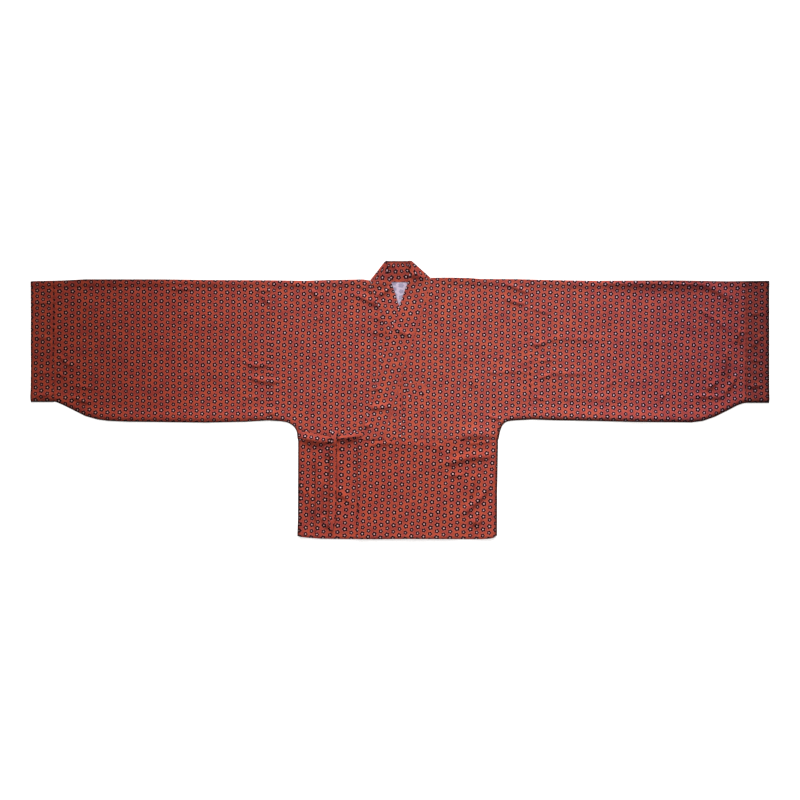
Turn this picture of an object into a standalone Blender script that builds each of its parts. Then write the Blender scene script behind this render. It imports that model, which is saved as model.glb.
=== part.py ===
"""The upper garment of a ruqun laid flat: a cross-collar cotton jacket with a waist panel, tied at the side.

Seen from above, +X is the wearer's left, +Y runs from the hem to the shoulders, and the back lies on z = 0.
Every piece is one wall of cloth, carried through sections that are worked out from the garment's own sizes.
Sizes and tables are in millimetres. The functions that make a mesh turn them to metres.
"""

from math import cos, hypot, pi, radians, sin

import bmesh
import bpy
from mathutils import Vector

METRES = 0.001

# Cloth
WALL = 1.2
BAND_WALL = 1.6  # collar and cuffs are doubled
GAP = 0.3  # between sewn edges, and between layers that lie on each other

# Places of the seams
CENTRE_X = 2.6
SLEEVE_SEAM_X = 334.8
CUFF_SEAM_X = 891.0
CUFF_END_X = 950.2
WAIST_Y = -103.0
COLLAR_TOP_Y = 358.4
BACK_NECK_Y = 298.7  # the lowest point of the back neckline

# Heights of the middle of each layer
BACK = WALL / 2
INNER = BACK + WALL + GAP  # the front that lies on the back
LIFT = 2.0  # how far the outer front is raised by the inner one
ROLL = 1.1  # how far a folded edge stands up, and how far in it reaches
ROLL_REACH = 34.0
FOLD_LIMIT = 3.4  # keeps the hollow under a fold shallow
FOLD_START = (-0.2, 0.25)  # shares of its length over which a fold rises from the flat, and sinks again
FOLD_END = (0.75, 1.2)
COVERED = (5.0, 35.0)  # how far outside the outer front's edge the inner front's folds start
SETTLING = (8.0, 48.0)  # how far beyond the inner front's edge the outer front comes down to the back

# x, y: the line of the shoulder fold
SHOULDER = (
    (-951.0, 305.9),
    (-869.0, 307.8),
    (-810.0, 310.9),
    (-601.0, 310.6),
    (-500.0, 309.1),
    (-341.0, 308.3),
    (-245.0, 306.9),
    (-180.0, 309.0),
    (-95.0, 310.6),
    (-77.6, 307.7),
    (78.8, 314.7),
    (130.0, 315.3),
    (180.0, 314.0),
    (207.0, 311.7),
    (300.0, 311.3),
    (400.0, 308.6),
    (500.0, 306.9),
    (700.0, 307.8),
    (841.0, 305.8),
    (951.0, 307.0),
)

# y, x: the side below the waist
SIDE = {
    "left": ((-358.4, 249.8), (-240.0, 250.2), (-103.0, 252.7)),
    "right": ((-358.4, -264.8), (-300.0, -262.8), (-103.0, -262.4)),
}

# x, y: the curve from the side up to the sleeve's under edge
ARMPIT = {
    "left": ((254.6, -97.0), (257.2, -84.0), (260.8, -72.0), (266.5, -62.0), (278.0, -55.0), (300.0, -52.6)),
    "right": ((-264.2, -97.0), (-265.8, -82.0), (-270.8, -71.5), (-279.5, -63.5), (-291.5, -57.6), (-310.0, -54.6)),
}

# x, y: the under edge of each sleeve, which rises to the cuff in a curve
SLEEVE_LOW = {
    "left": (
        (300.0, -52.6),
        (341.0, -50.5),
        (400.0, -52.6),
        (500.0, -54.2),
        (601.0, -56.9),
        (750.0, -58.0),
        (779.0, -54.3),
        (810.0, -43.5),
        (841.0, -28.3),
        (869.0, -13.6),
        (884.0, -8.6),
        (891.0, -7.6),
    ),
    "right": (
        (-891.0, -4.6),
        (-884.0, -5.8),
        (-869.0, -12.0),
        (-841.0, -25.8),
        (-810.0, -41.5),
        (-779.0, -50.3),
        (-751.0, -54.0),
        (-700.0, -56.1),
        (-500.0, -58.4),
        (-400.0, -56.5),
        (-341.0, -52.9),
        (-310.0, -54.6),
    ),
}
CUFF_LOW_Y = {"left": -7.6, "right": -5.4}

# x, y: the hem
HEM = (
    (-264.8, -349.0),
    (-256.0, -352.6),
    (-230.0, -355.2),
    (-205.0, -357.0),
    (-150.0, -358.0),
    (-60.0, -358.4),
    (20.0, -357.6),
    (179.0, -358.4),
    (207.0, -358.4),
    (228.0, -357.2),
    (240.0, -355.0),
    (249.8, -349.0),
)

# seam_x, seam_y, free_x, free_y: a collar leg from the crease at the shoulder down to the waist
SEAM_X, SEAM_Y, FREE_X, FREE_Y = range(4)
LEG = {
    "left": (
        (78.5, 314.7, 29.6, 358.4),
        (76.9, 296.1, 22.9, 306.4),
        (69.0, 265.2, 13.4, 279.4),
        (52.0, 208.6, -6.7, 226.6),
        (35.0, 157.1, -24.2, 177.7),
        (17.0, 103.0, -41.7, 121.0),
        (2.45, 54.0, -54.3, 71.0),
        (-10.0, 10.3, -67.0, 23.2),
        (-21.9, -30.9, -77.3, -14.2),
        (-35.5, -77.3, -91.7, -69.5),
        (-43.0, -102.85, -100.4, -102.85),
    ),
    "right": (
        (-77.3, 307.7, -37.6, 358.4),
        (-73.3, 293.6, -22.4, 305.1),
        (-62.9, 262.7, -9.5, 274.2),
        (-46.4, 215.0, 9.8, 233.8),
        (-29.8, 157.1, 29.4, 177.7),
        (-11.8, 103.0, 46.9, 121.0),
        (2.75, 54.0, 59.5, 71.0),
        (15.2, 10.3, 72.2, 23.2),
        (27.1, -30.9, 82.5, -14.2),
        (40.7, -77.3, 96.9, -69.5),
        (48.2, -102.85, 105.6, -102.85),
    ),
}
APEX = 6  # the row of a leg that meets the centre front, where the overlap panel starts
OVERLAP_TIP = 0.12  # the panel starts just below the point where it has no width

# y, x: the upright edge of each waist panel front
PANEL_EDGE = {
    "left": ((-358.4, -110.0), (-103.0, -108.0)),
    "right": ((-358.4, 112.0), (-103.0, 107.0)),
}

# from_x, from_y, to_x, to_y, bow, reach, height: the largest soft folds of the cloth that shows
FOLDS = (
    (785.0, 288.0, 886.0, 250.0, 5.0, 30.0, 3.0),  # from the left shoulder fold down to the cuff
    (886.0, 124.0, 803.0, 8.0, -12.0, 28.0, 3.2),  # from the left cuff down to the sleeve's curve
    (834.0, 160.0, 783.0, 36.0, -15.0, 26.0, 2.6),
    (299.0, 157.0, 494.0, 162.0, 4.0, 26.0, 2.2),  # across the left sleeve seam
    (265.0, 75.0, 451.0, 80.0, 5.0, 26.0, 2.2),
    (252.0, 291.0, 332.0, 255.0, 0.0, 24.0, 2.6),
    (136.0, -90.0, 247.0, -70.0, 6.0, 34.0, 3.2),  # above the waist at the left side
    (242.0, -162.0, 170.0, -263.0, -10.0, 38.0, 3.4),  # below the waist at the left side
    (237.0, -265.0, 201.0, -335.0, -4.0, 28.0, 2.6),
    (-242.0, -201.0, -234.0, -340.0, 4.0, 24.0, 3.0),  # down the right of the waist panel
    (-417.0, 111.0, -340.0, 98.0, -5.0, 24.0, 2.2),  # across the right sleeve seam
    (-397.0, 64.0, -278.0, 57.0, -6.0, 24.0, 2.2),
    (-870.0, 46.0, -772.0, -21.0, -8.0, 28.0, 2.6),  # along the right sleeve's curve
    (-129.0, 291.0, -54.0, 255.0, 0.0, 22.0, 2.6),  # from the right shoulder to the collar
)

# x, y: the middle of each stretch of the tie, seen from above
TIE_WIDTH = 15.0
TIE_PATHS = {
    "tie_side": ((-259.0, -86.0), (-238.0, -91.0), (-208.0, -97.0), (-179.9, -101.0)),
    "tie_front": ((-160.0, -96.0), (-142.0, -93.0), (-122.0, -90.5), (-102.0, -89.0)),
    "tie_end": (
        (-171.0, -112.0),
        (-172.5, -150.0),
        (-172.0, -200.0),
        (-172.8, -250.0),
        (-173.0, -295.0),
        (-180.0, -329.0),
    ),
}
TIE_START_RISE = 1.2  # the side tie starts higher, over the rolled side edge
TIE_START_RUN = 70.0
KNOT_MIDDLE = (-170.0, -98.5)
KNOT_SIZE = (16.6, 25.2, 6.0)
KNOT_ROUNDING = 2.6
KNOT_STEPS = 3  # round each edge of the knot

# Mesh steps
ARC_STEPS = 4  # round a fold
FRONT_STEPS = 24  # from the waist to the shoulder
BACK_STEPS = 6
SIDE_STEPS = 9  # from the neck to the side
SEAM_STEPS = 2  # from the armpit to the sleeve seam
SLEEVE_STEPS = 36
CUFF_STEPS = 3
BAND_STEPS = 3  # across the collar
OVERLAP_STEPS = 3
PANEL_STEPS = 21  # along one front of the waist panel
PANEL_BACK_STEPS = 8
PANEL_ROWS = 14
SMOOTH_BELOW = 50.0  # degrees between faces that are shaded as one surface
SAME_POINT = 1e-6  # metres

CLOTH_RED = (0.46, 0.075, 0.04)
CLOTH_ROUGHNESS = 0.85


def blend(low, high, share):
    """The value that lies share of the way from low to high."""
    return low + (high - low) * share


def ease(start, end, value):
    """0 before start, 1 after end, and a soft step between them."""
    share = min(1.0, max(0.0, (value - start) / (end - start)))
    return share * share * (3 - 2 * share)


def reading(rows, value):
    """Straight-line reading of a table of two columns."""
    rows = sorted(rows)
    for low, high in zip(rows, rows[1:]):
        if value <= high[0]:
            share = max(0.0, (value - low[0]) / (high[0] - low[0]))
            return blend(low[1], high[1], share)
    return rows[-1][1]


def front_edge_x(side, y):
    """The free edge of a front: the collar's above the waist, the waist panel's below it."""
    if y < WAIST_Y:
        return reading(PANEL_EDGE[side], y)
    return reading([(row[FREE_Y], row[FREE_X]) for row in LEG[side]], y)


def side_of(x):
    return "left" if x > CENTRE_X else "right"


def sleeve_low_y(x):
    return reading(SLEEVE_LOW[side_of(x)], x)


def under_edge(side):
    """The outline from the hem up the side, round the armpit and along the under side of the sleeve."""
    low = SLEEVE_LOW[side] if side == "left" else SLEEVE_LOW[side][::-1]
    end = (CUFF_END_X if side == "left" else -CUFF_END_X, CUFF_LOW_Y[side])
    return [(x, y) for y, x in SIDE[side]] + list(ARMPIT[side]) + list(low) + [end]


UNDER_EDGE = {side: under_edge(side) for side in SIDE}


def distance_to_line(x, y, start, end):
    run_x, run_y = end[0] - start[0], end[1] - start[1]
    square = run_x * run_x + run_y * run_y
    share = ((x - start[0]) * run_x + (y - start[1]) * run_y) / square if square else 0.0
    share = min(1.0, max(0.0, share))
    return hypot(x - start[0] - share * run_x, y - start[1] - share * run_y)


def distance_from_fold(x, y):
    """How far a point lies inside the shoulder, the sleeve's under edge, the armpit or the side."""
    edge = UNDER_EDGE[side_of(x)]
    from_low = min(distance_to_line(x, y, start, end) for start, end in zip(edge, edge[1:]))
    from_top = reading(SHOULDER, x) - y
    return max(0.0, min(from_top, from_low))


def bump(distance, reach):
    """1 at no distance, 0 from its reach outwards, and rounded between."""
    return max(0.0, 1 - (distance / reach) ** 2) ** 2


def roll(x, y):
    """The cloth stands up a little along a folded edge."""
    return ROLL * bump(distance_from_fold(x, y), ROLL_REACH)


def folds(x, y):
    """The height that the soft folds add: each is a bowed ridge that fades out at its ends."""
    total = 0.0
    for from_x, from_y, to_x, to_y, bow, reach, height in FOLDS:
        length = hypot(to_x - from_x, to_y - from_y)
        along_x, along_y = (to_x - from_x) / length, (to_y - from_y) / length
        along = ((x - from_x) * along_x + (y - from_y) * along_y) / length
        beside = (y - from_y) * along_x - (x - from_x) * along_y
        beside -= bow * (1 - (2 * along - 1) ** 2)
        fade = ease(*FOLD_START, along) * (1 - ease(*FOLD_END, along))
        total += height * fade * bump(beside, reach)
    return min(total, FOLD_LIMIT)


def inner_height(x, y):
    """The wearer's right side. Its folds stop where the outer front covers it."""
    showing = ease(*COVERED, front_edge_x("left", y) - x)
    return INNER + roll(x, y) + folds(x, y) * showing


def outer_height(x, y):
    """The wearer's left side, which is raised over the inner front and settles on the back beyond it."""
    if y < LEG["left"][APEX][SEAM_Y]:
        edge = front_edge_x("right", y)
    else:
        seam = reading([(row[SEAM_Y], row[SEAM_X]) for row in LEG["left"]], y)
        edge = max(seam, front_edge_x("right", y))
    lift = LIFT * (1 - ease(*SETTLING, x - edge))
    return INNER + hypot(lift, roll(x, y)) + folds(x, y)


HEIGHT = {"left": outer_height, "right": inner_height}


def fold_arc(edge, outward, low, high, wall):
    """Points round a fold, from the upper layer to the lower. The wall's outside just reaches the edge."""
    radius = (high - low) / 2
    points = []
    for step in range(ARC_STEPS + 1):
        turn = pi * step / ARC_STEPS
        reach = radius * sin(turn) - radius - wall / 2
        x = edge[0] + outward[0] * reach
        y = edge[1] + outward[1] * reach
        points.append((x, y, (high + low) / 2 + radius * cos(turn)))
    return points


def open_edge(front, back):
    """Stands in for a fold where front and back aren't joined. Its faces are cut away."""
    return [tuple(blend(a, b, step / ARC_STEPS) for a, b in zip(front, back)) for step in range(ARC_STEPS + 1)]


def between(start, end, steps, height):
    """The points inside a run from start to end, at the height that the function gives."""
    points = []
    for step in range(1, steps):
        x = blend(start[0], end[0], step / steps)
        y = blend(start[1], end[1], step / steps)
        points.append((x, y, height(x, y)))
    return points


def ring(low_fold, top_fold, front_height, back_height):
    """A section all round: the under fold, up the front, the shoulder fold and down the back."""
    front = between(low_fold[-1], top_fold[0], FRONT_STEPS, front_height)
    back = between(top_fold[-1], low_fold[0], BACK_STEPS, back_height)
    return low_fold + front + top_fold + back + low_fold[:1]


def cloth_material():
    material = bpy.data.materials.new("printed_cotton")
    material.use_nodes = True
    shader = material.node_tree.nodes["Principled BSDF"]
    shader.inputs["Base Color"].default_value = (*CLOTH_RED, 1.0)
    shader.inputs["Roughness"].default_value = CLOTH_ROUGHNESS
    shader.inputs["Metallic"].default_value = 0.0
    return material


def place(name, bm):
    """Turns a bmesh into one named object with a material of its own."""
    for edge in bm.edges:
        edge.smooth = not edge.is_boundary and edge.calc_face_angle() < radians(SMOOTH_BELOW)
    mesh = bpy.data.meshes.new(name)
    bm.to_mesh(mesh)
    bm.free()
    mesh.materials.append(cloth_material())
    mesh.shade_smooth()
    piece = bpy.data.objects.new(name, mesh)
    jacket.objects.link(piece)
    return piece


def cloth(name, sections, wall, cut=None):
    """One wall of cloth through the sections. cut(i, j) says which cells of the grid are left out."""
    across = len(sections) - 1
    along = len(sections[0]) - 1
    bm = bmesh.new()
    half = 0.5
    bmesh.ops.create_grid(bm, x_segments=across, y_segments=along, size=half)
    if cut:
        middles = {face: face.calc_center_median() for face in bm.faces}
        gone = [
            face
            for face, middle in middles.items()
            if cut(int((middle.x + half) * across), int((middle.y + half) * along))
        ]
        bmesh.ops.delete(bm, geom=gone, context="FACES")
    for vert in bm.verts:
        section = sections[round((vert.co.x + half) * across)]
        vert.co = Vector(section[round((vert.co.y + half) * along)]) * METRES
    bmesh.ops.remove_doubles(bm, verts=bm.verts, dist=SAME_POINT)
    bmesh.ops.recalc_face_normals(bm, faces=bm.faces)
    piece = place(name, bm)
    thickness = piece.modifiers.new("Thickness", "SOLIDIFY")
    thickness.thickness = wall * METRES
    thickness.offset = 0.0
    thickness.use_even_offset = True
    return piece


def back_neck(side, share):
    """A point of the back neckline, from the centre to the shoulder."""
    corner = LEG[side][0]
    x = blend(CENTRE_X, corner[SEAM_X], share)
    y = blend(BACK_NECK_Y, corner[SEAM_Y], share * share)
    return x, y


def neck_columns(side, sign, height):
    """The folds list of each column from the centre seam to the neck corner, whose front meets the collar."""
    columns = []
    for step in range(APEX + 1):
        row = LEG[side][APEX - step]
        front_x, front_y = row[SEAM_X] + sign * GAP, row[SEAM_Y]
        back_x, back_y = back_neck(side, step / APEX)
        back_x += sign * (GAP / 2 + GAP / 2 * step / APEX)
        if step < APEX:
            top = open_edge((front_x, front_y, height(front_x, front_y)), (back_x, back_y - GAP, BACK))
        else:
            top = fold_arc((front_x, front_y), (0.0, 1.0), BACK, height(front_x, front_y), WALL)
        columns.append(top)
    return columns


def body(side, sign):
    """Front and back of one half, cut in one and folded at the shoulder, as far as the sleeve seam."""
    height = HEIGHT[side]
    seam_x = sign * (SLEEVE_SEAM_X - GAP / 2)
    waist_y = WAIST_Y + GAP / 2
    side_x = reading(SIDE[side], waist_y)
    centre_x = CENTRE_X + sign * GAP / 2

    tops = neck_columns(side, sign, height)
    corner_x = tops[-1][0][0]
    shoulder_steps = SIDE_STEPS + len(ARMPIT[side]) + SEAM_STEPS
    for step in range(1, shoulder_steps + 1):
        x = blend(corner_x, seam_x, step / shoulder_steps)
        edge = (x, reading(SHOULDER, x))
        tops.append(fold_arc(edge, (0.0, 1.0), BACK, height(*edge), WALL))

    lows = []
    waist_columns = APEX + SIDE_STEPS
    for step in range(waist_columns):
        x = blend(centre_x, side_x, step / waist_columns)
        lows.append(open_edge((x, waist_y, BACK), (x, waist_y, height(x, waist_y))))
    lows.append(fold_arc((side_x, waist_y), (float(sign), 0.0), BACK, height(side_x, waist_y), WALL)[::-1])
    curve = [(side_x, waist_y), *ARMPIT[side], (seam_x, sleeve_low_y(seam_x))]
    for before, edge, after in zip(curve, curve[1:], curve[2:]):
        run = Vector((after[0] - before[0], after[1] - before[1])).normalized()
        outward = (run.y * sign, -run.x * sign)
        lows.append(fold_arc(edge, outward, BACK, height(*edge), WALL)[::-1])
    armpit_end = ARMPIT[side][-1][0]
    for step in range(1, SEAM_STEPS + 1):
        x = blend(armpit_end, seam_x, step / SEAM_STEPS)
        edge = (x, sleeve_low_y(x))
        lows.append(fold_arc(edge, (0.0, -1.0), BACK, height(*edge), WALL)[::-1])

    sections = [ring(low, top, height, lambda x, y: BACK) for low, top in zip(lows, tops)]
    top_start = ARC_STEPS + FRONT_STEPS

    def cut(i, j):
        open_waist = i < waist_columns and j < ARC_STEPS
        open_neck = i < APEX and top_start <= j < top_start + ARC_STEPS
        return open_waist or open_neck

    cloth(f"body_{side}", sections, WALL, cut)


def tube(name, side, start_x, end_x, steps, wall, low_y):
    """A flattened tube along X, folded at the shoulder line and at its under edge."""
    floor = wall / 2
    raised = 1.5 * (wall - WALL)  # a thicker lower layer, and half of the thicker upper one

    def height(x, y):
        return HEIGHT[side](x, y) + raised

    sections = []
    for step in range(steps + 1):
        x = blend(start_x, end_x, step / steps)
        top = (x, reading(SHOULDER, x))
        low = (x, low_y(x))
        top_fold = fold_arc(top, (0.0, 1.0), floor, height(*top), wall)
        low_fold = fold_arc(low, (0.0, -1.0), floor, height(*low), wall)[::-1]
        sections.append(ring(low_fold, top_fold, height, lambda x, y: floor))
    cloth(name, sections, wall)


def sleeve(side, sign):
    start_x = sign * (SLEEVE_SEAM_X + GAP / 2)
    end_x = sign * (CUFF_SEAM_X - GAP / 2)
    tube(f"sleeve_{side}", side, start_x, end_x, SLEEVE_STEPS, WALL, sleeve_low_y)


def cuff(side, sign):
    start_x = sign * (CUFF_SEAM_X + GAP / 2)
    end_x = sign * CUFF_END_X
    tube(f"cuff_{side}", side, start_x, end_x, CUFF_STEPS, BAND_WALL, lambda x: CUFF_LOW_Y[side])


def overlap(side, sign):
    """The narrow panel between the centre front seam and the lower half of the collar."""
    height = HEIGHT[side]
    centre_x = CENTRE_X - sign * GAP / 2
    rows = [(row[SEAM_X], row[SEAM_Y]) for row in LEG[side][APEX:]]
    rows[0] = tuple(blend(a, b, OVERLAP_TIP) for a, b in zip(rows[0], rows[1]))
    sections = []
    for (high_x, high_y), (low_x, low_y) in zip(rows, rows[1:]):
        for share in (0.0, 0.5):
            sections.append((blend(high_x, low_x, share) + sign * GAP, blend(high_y, low_y, share)))
    sections.append((rows[-1][0] + sign * GAP, rows[-1][1]))

    def points(x, y):
        places = [blend(x, centre_x, step / OVERLAP_STEPS) for step in range(OVERLAP_STEPS + 1)]
        return [(place_x, y, height(place_x, y)) for place_x in places]

    cloth(f"overlap_{side}", [points(x, y) for x, y in sections], WALL)


def band_section(seam, free, height):
    """A line across the collar, from its sewn edge to its free edge."""
    points = []
    for step in range(BAND_STEPS + 1):
        x = blend(seam[0], free[0], step / BAND_STEPS)
        y = blend(seam[1], free[1], step / BAND_STEPS)
        points.append((x, y, height(x, y)))
    return points


def leg_sections(side):
    """One collar leg from the waist up to just below its crease."""
    rows = LEG[side][:0:-1]

    def height(x, y):
        return HEIGHT[side](x, y) + (BAND_WALL - WALL) / 2

    sections = []
    for low, high in zip(rows, rows[1:]):
        for share in (0.0, 0.5):
            row = [blend(a, b, share) for a, b in zip(low, high)]
            sections.append(band_section(row[:2], row[2:], height))
    sections.append(band_section(rows[-1][:2], rows[-1][2:], height))
    return sections


def crease_sections(side, sign):
    """The slanted fold where a leg turns over to the back of the neck, from the leg to the back."""
    seam, free = LEG[side][0][:2], LEG[side][0][2:]
    run = Vector((seam[0] - free[0], seam[1] - free[1])).normalized()
    outward = (-run.y * sign, run.x * sign)
    high = HEIGHT[side](*seam) + (BAND_WALL - WALL) / 2
    ends = [fold_arc(end, outward, BAND_WALL / 2, high, BAND_WALL) for end in (seam, free)]
    sections = []
    for seam_point, free_point in zip(*ends):
        shares = [step / BAND_STEPS for step in range(BAND_STEPS + 1)]
        sections.append([tuple(blend(a, b, s) for a, b in zip(seam_point, free_point)) for s in shares])
    return sections


def collar():
    """One straight band: up the inner leg, round the back of the neck and down the outer leg."""
    right = leg_sections("right") + crease_sections("right", -1)
    left = leg_sections("left") + crease_sections("left", 1)
    corner_right, corner_left = LEG["right"][0][FREE_X], LEG["left"][0][FREE_X]
    back = []
    for step in range(1 - APEX, APEX):
        side = "left" if step > 0 else "right"
        free_x = blend(corner_right, corner_left, (step + APEX) / (2 * APEX))
        seam = back_neck(side, abs(step) / APEX)
        back.append(band_section(seam, (free_x, COLLAR_TOP_Y), lambda x, y: BAND_WALL / 2))
    cloth("collar", right + back + left[::-1], BAND_WALL)


def waist_panel():
    """One long strip below the waist seam: inner front, back and outer front."""
    top_y = WAIST_Y - GAP / 2
    sections = []
    for row in range(PANEL_ROWS + 1):
        share = row / PANEL_ROWS

        def y_at(x):
            return blend(top_y, reading(HEM, x), share)

        def run(start_x, end_x, steps, height):
            places = [blend(start_x, end_x, step / steps) for step in range(steps + 1)]
            return [(x, y_at(x), height(x, y_at(x))) for x in places]

        def side_fold(side, sign):
            y = y_at(reading(SIDE[side], WAIST_Y))
            edge = (reading(SIDE[side], y), y)
            return fold_arc(edge, (float(sign), 0.0), BACK, HEIGHT[side](*edge), WALL)

        right = side_fold("right", -1)
        left = side_fold("left", 1)
        inner_edge_x = reading(PANEL_EDGE["right"], y_at(PANEL_EDGE["right"][0][1]))
        outer_edge_x = reading(PANEL_EDGE["left"], y_at(PANEL_EDGE["left"][0][1]))
        points = run(inner_edge_x, right[0][0], PANEL_STEPS, inner_height)[:-1] + right
        points += run(right[-1][0], left[-1][0], PANEL_BACK_STEPS, lambda x, y: BACK)[1:-1]
        points += left[::-1] + run(left[0][0], outer_edge_x, PANEL_STEPS, outer_height)[1:]
        sections.append(points)
    cloth("waist_panel", sections, WALL)


def tie(name, path):
    """A flat strip that lies just above the cloth under it."""
    resting = INNER + WALL + GAP
    sections = []
    for index, (x, y) in enumerate(path):
        before, after = path[max(0, index - 1)], path[min(len(path) - 1, index + 1)]
        run = Vector((after[0] - before[0], after[1] - before[1])).normalized()
        z = resting + TIE_START_RISE * (1 - ease(0.0, TIE_START_RUN, x - TIE_PATHS["tie_side"][0][0]))
        half = TIE_WIDTH / 2
        sections.append([(x - run.y * half * way, y + run.x * half * way, z) for way in (-1, 0, 1)])
    cloth(name, sections, WALL)


def knot():
    """A small pressed knot where the two ties meet."""
    bm = bmesh.new()
    bmesh.ops.create_cube(bm, size=METRES)
    z = INNER + WALL / 2 + GAP + KNOT_SIZE[2] / 2
    bmesh.ops.scale(bm, vec=KNOT_SIZE, verts=bm.verts)
    bmesh.ops.translate(bm, vec=Vector((*KNOT_MIDDLE, z)) * METRES, verts=bm.verts)
    bmesh.ops.bevel(
        bm,
        geom=bm.edges[:],
        offset=KNOT_ROUNDING * METRES,
        segments=KNOT_STEPS,
        profile=0.5,
        affect="EDGES",
        material=-1,
    )
    place("tie_knot", bm)


for old in list(bpy.data.objects):
    bpy.data.objects.remove(old)

jacket = bpy.data.collections.new("cross_collar_jacket")
bpy.context.scene.collection.children.link(jacket)

for wearer_side, direction in (("left", 1), ("right", -1)):
    body(wearer_side, direction)
    overlap(wearer_side, direction)
    sleeve(wearer_side, direction)
    cuff(wearer_side, direction)
collar()
waist_panel()
for tie_name, tie_path in TIE_PATHS.items():
    tie(tie_name, tie_path)
knot()
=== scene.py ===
"""The looks of a cross-collar jacket laid flat: printed cotton, folds, seams, stitches, floor and light.

Seen from above, +X is the wearer's left and +Y runs from the hem to the shoulders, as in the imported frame.
Sizes and tables are in millimetres. The functions that make a mesh or a light turn them to metres.
"""

from math import cos, pi, radians, sin

import bmesh
import bpy
import numpy as np
from mathutils import Matrix, Vector, noise


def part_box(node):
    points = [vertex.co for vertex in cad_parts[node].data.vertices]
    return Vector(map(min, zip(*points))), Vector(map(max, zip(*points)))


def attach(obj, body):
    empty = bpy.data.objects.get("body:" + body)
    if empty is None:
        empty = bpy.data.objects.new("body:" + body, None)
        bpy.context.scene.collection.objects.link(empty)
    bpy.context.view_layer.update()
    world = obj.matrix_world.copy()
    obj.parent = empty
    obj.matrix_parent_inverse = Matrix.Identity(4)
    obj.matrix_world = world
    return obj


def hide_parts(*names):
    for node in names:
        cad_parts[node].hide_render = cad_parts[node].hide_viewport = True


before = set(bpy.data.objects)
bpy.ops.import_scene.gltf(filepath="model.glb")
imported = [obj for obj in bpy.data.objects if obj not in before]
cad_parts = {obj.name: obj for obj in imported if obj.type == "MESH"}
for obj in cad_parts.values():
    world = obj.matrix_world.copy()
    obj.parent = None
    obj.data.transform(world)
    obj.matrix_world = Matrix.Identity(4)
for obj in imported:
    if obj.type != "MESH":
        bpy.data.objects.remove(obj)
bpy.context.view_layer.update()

MM = 0.001
HALF = 0.5  # a new grid runs from -0.5 to 0.5, and a new ball has this radius


def box_mm(node):
    low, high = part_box(node)
    return low / MM, high / MM


def linear(colour):
    """A colour's sRGB hex value, as the linear one that a shader takes."""
    parts = [int(colour[start : start + 2], 16) / 255 for start in (1, 3, 5)]
    return [part / 12.92 if part <= 0.04045 else ((part + 0.055) / 1.055) ** 2.4 for part in parts] + [1.0]


SIGN = {"left": 1, "right": -1}  # the wearer's left is at +X

# Cloth
WALL = 0.6
BAND_WALL = 1.2  # collar, cuffs and ties are doubled
BAND_RAISED = 1.5  # a cuff's front lies higher by this much of its extra wall
BAND_WIDTH = 59.0
BAND_FULLNESS = 0.8  # how much higher a band is along its middle
GAP = 0.08  # between sewn edges

# Places of the seams, from the frame
CENTRE_X = 2.6
SLEEVE_SEAM_X = box_mm("sleeve_left")[0].x - GAP / 2
CUFF_SEAM_X = box_mm("cuff_left")[0].x - GAP / 2
CUFF_END_X = box_mm("cuff_left")[1].x
WAIST_Y = box_mm("waist_panel")[1].y + GAP / 2
COLLAR_TOP_Y = box_mm("collar")[1].y
BACK_NECK_Y = 303.6  # at the centre

# Heights of the middle of each layer
BACK = 0.35
INNER = 2.6  # the front that lies on the back
LIFT = 2.2  # how far the outer front is raised by the inner one
COVERED = (2.0, 26.0)  # how far outside the outer front's edge the inner front's folds start
SETTLING = (6.0, 46.0)  # how far beyond the inner front's edge the outer front comes down to the back

# x, y: the line of the shoulder fold
SHOULDER = (
    (-951, 305.9), (-869, 307.8), (-810, 310.9), (-601, 310.6), (-500, 309.1), (-341, 308.3),
    (-245, 306.9), (-180, 309), (-95, 310.6), (-77.6, 307.7), (78.8, 314.7), (130, 315.3), (180, 314),
    (207, 311.7), (300, 311.3), (400, 308.6), (500, 306.9), (700, 307.8), (841, 305.8), (951, 307),
)

# y, x: the side below the waist
SIDE = {
    "left": ((-358.4, 249.8), (-240, 250.2), (-103, 252.7)),
    "right": ((-358.4, -264.8), (-300, -262.8), (-103, -262.4)),
}

# x, y: the curve from the side up to the sleeve's under edge
ARMPIT = {
    "left": ((254.6, -97), (257.2, -84), (260.8, -72), (266.5, -62), (278, -55), (300, -52.6)),
    "right": (
        (-264.2, -97), (-265.8, -82), (-270.8, -71.5), (-279.5, -63.5), (-291.5, -57.6), (-310, -54.6),
    ),
}

# x, y: the under edge of each sleeve, which rises to the cuff in a curve
SLEEVE_LOW = {
    "left": (
        (300, -52.6), (341, -50.5), (400, -52.6), (500, -54.2), (601, -56.9), (750, -58), (779, -54.3),
        (810, -43.5), (841, -28.3), (869, -13.6), (884, -8.6), (891, -7.6),
    ),
    "right": (
        (-891, -4.6), (-884, -5.8), (-869, -12), (-841, -25.8), (-810, -41.5), (-779, -50.3), (-751, -54),
        (-700, -56.1), (-500, -58.4), (-400, -56.5), (-341, -52.9), (-310, -54.6),
    ),
}
CUFF_LOW_Y = {"left": -7.6, "right": -5.4}

# x, y: the hem
HEM = (
    (-264.8, -349), (-256, -352.6), (-230, -355.2), (-205, -357), (-150, -358), (-60, -358.4),
    (20, -357.6), (179, -358.4), (207, -358.4), (228, -357.2), (240, -355), (249.8, -349),
)

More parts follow.
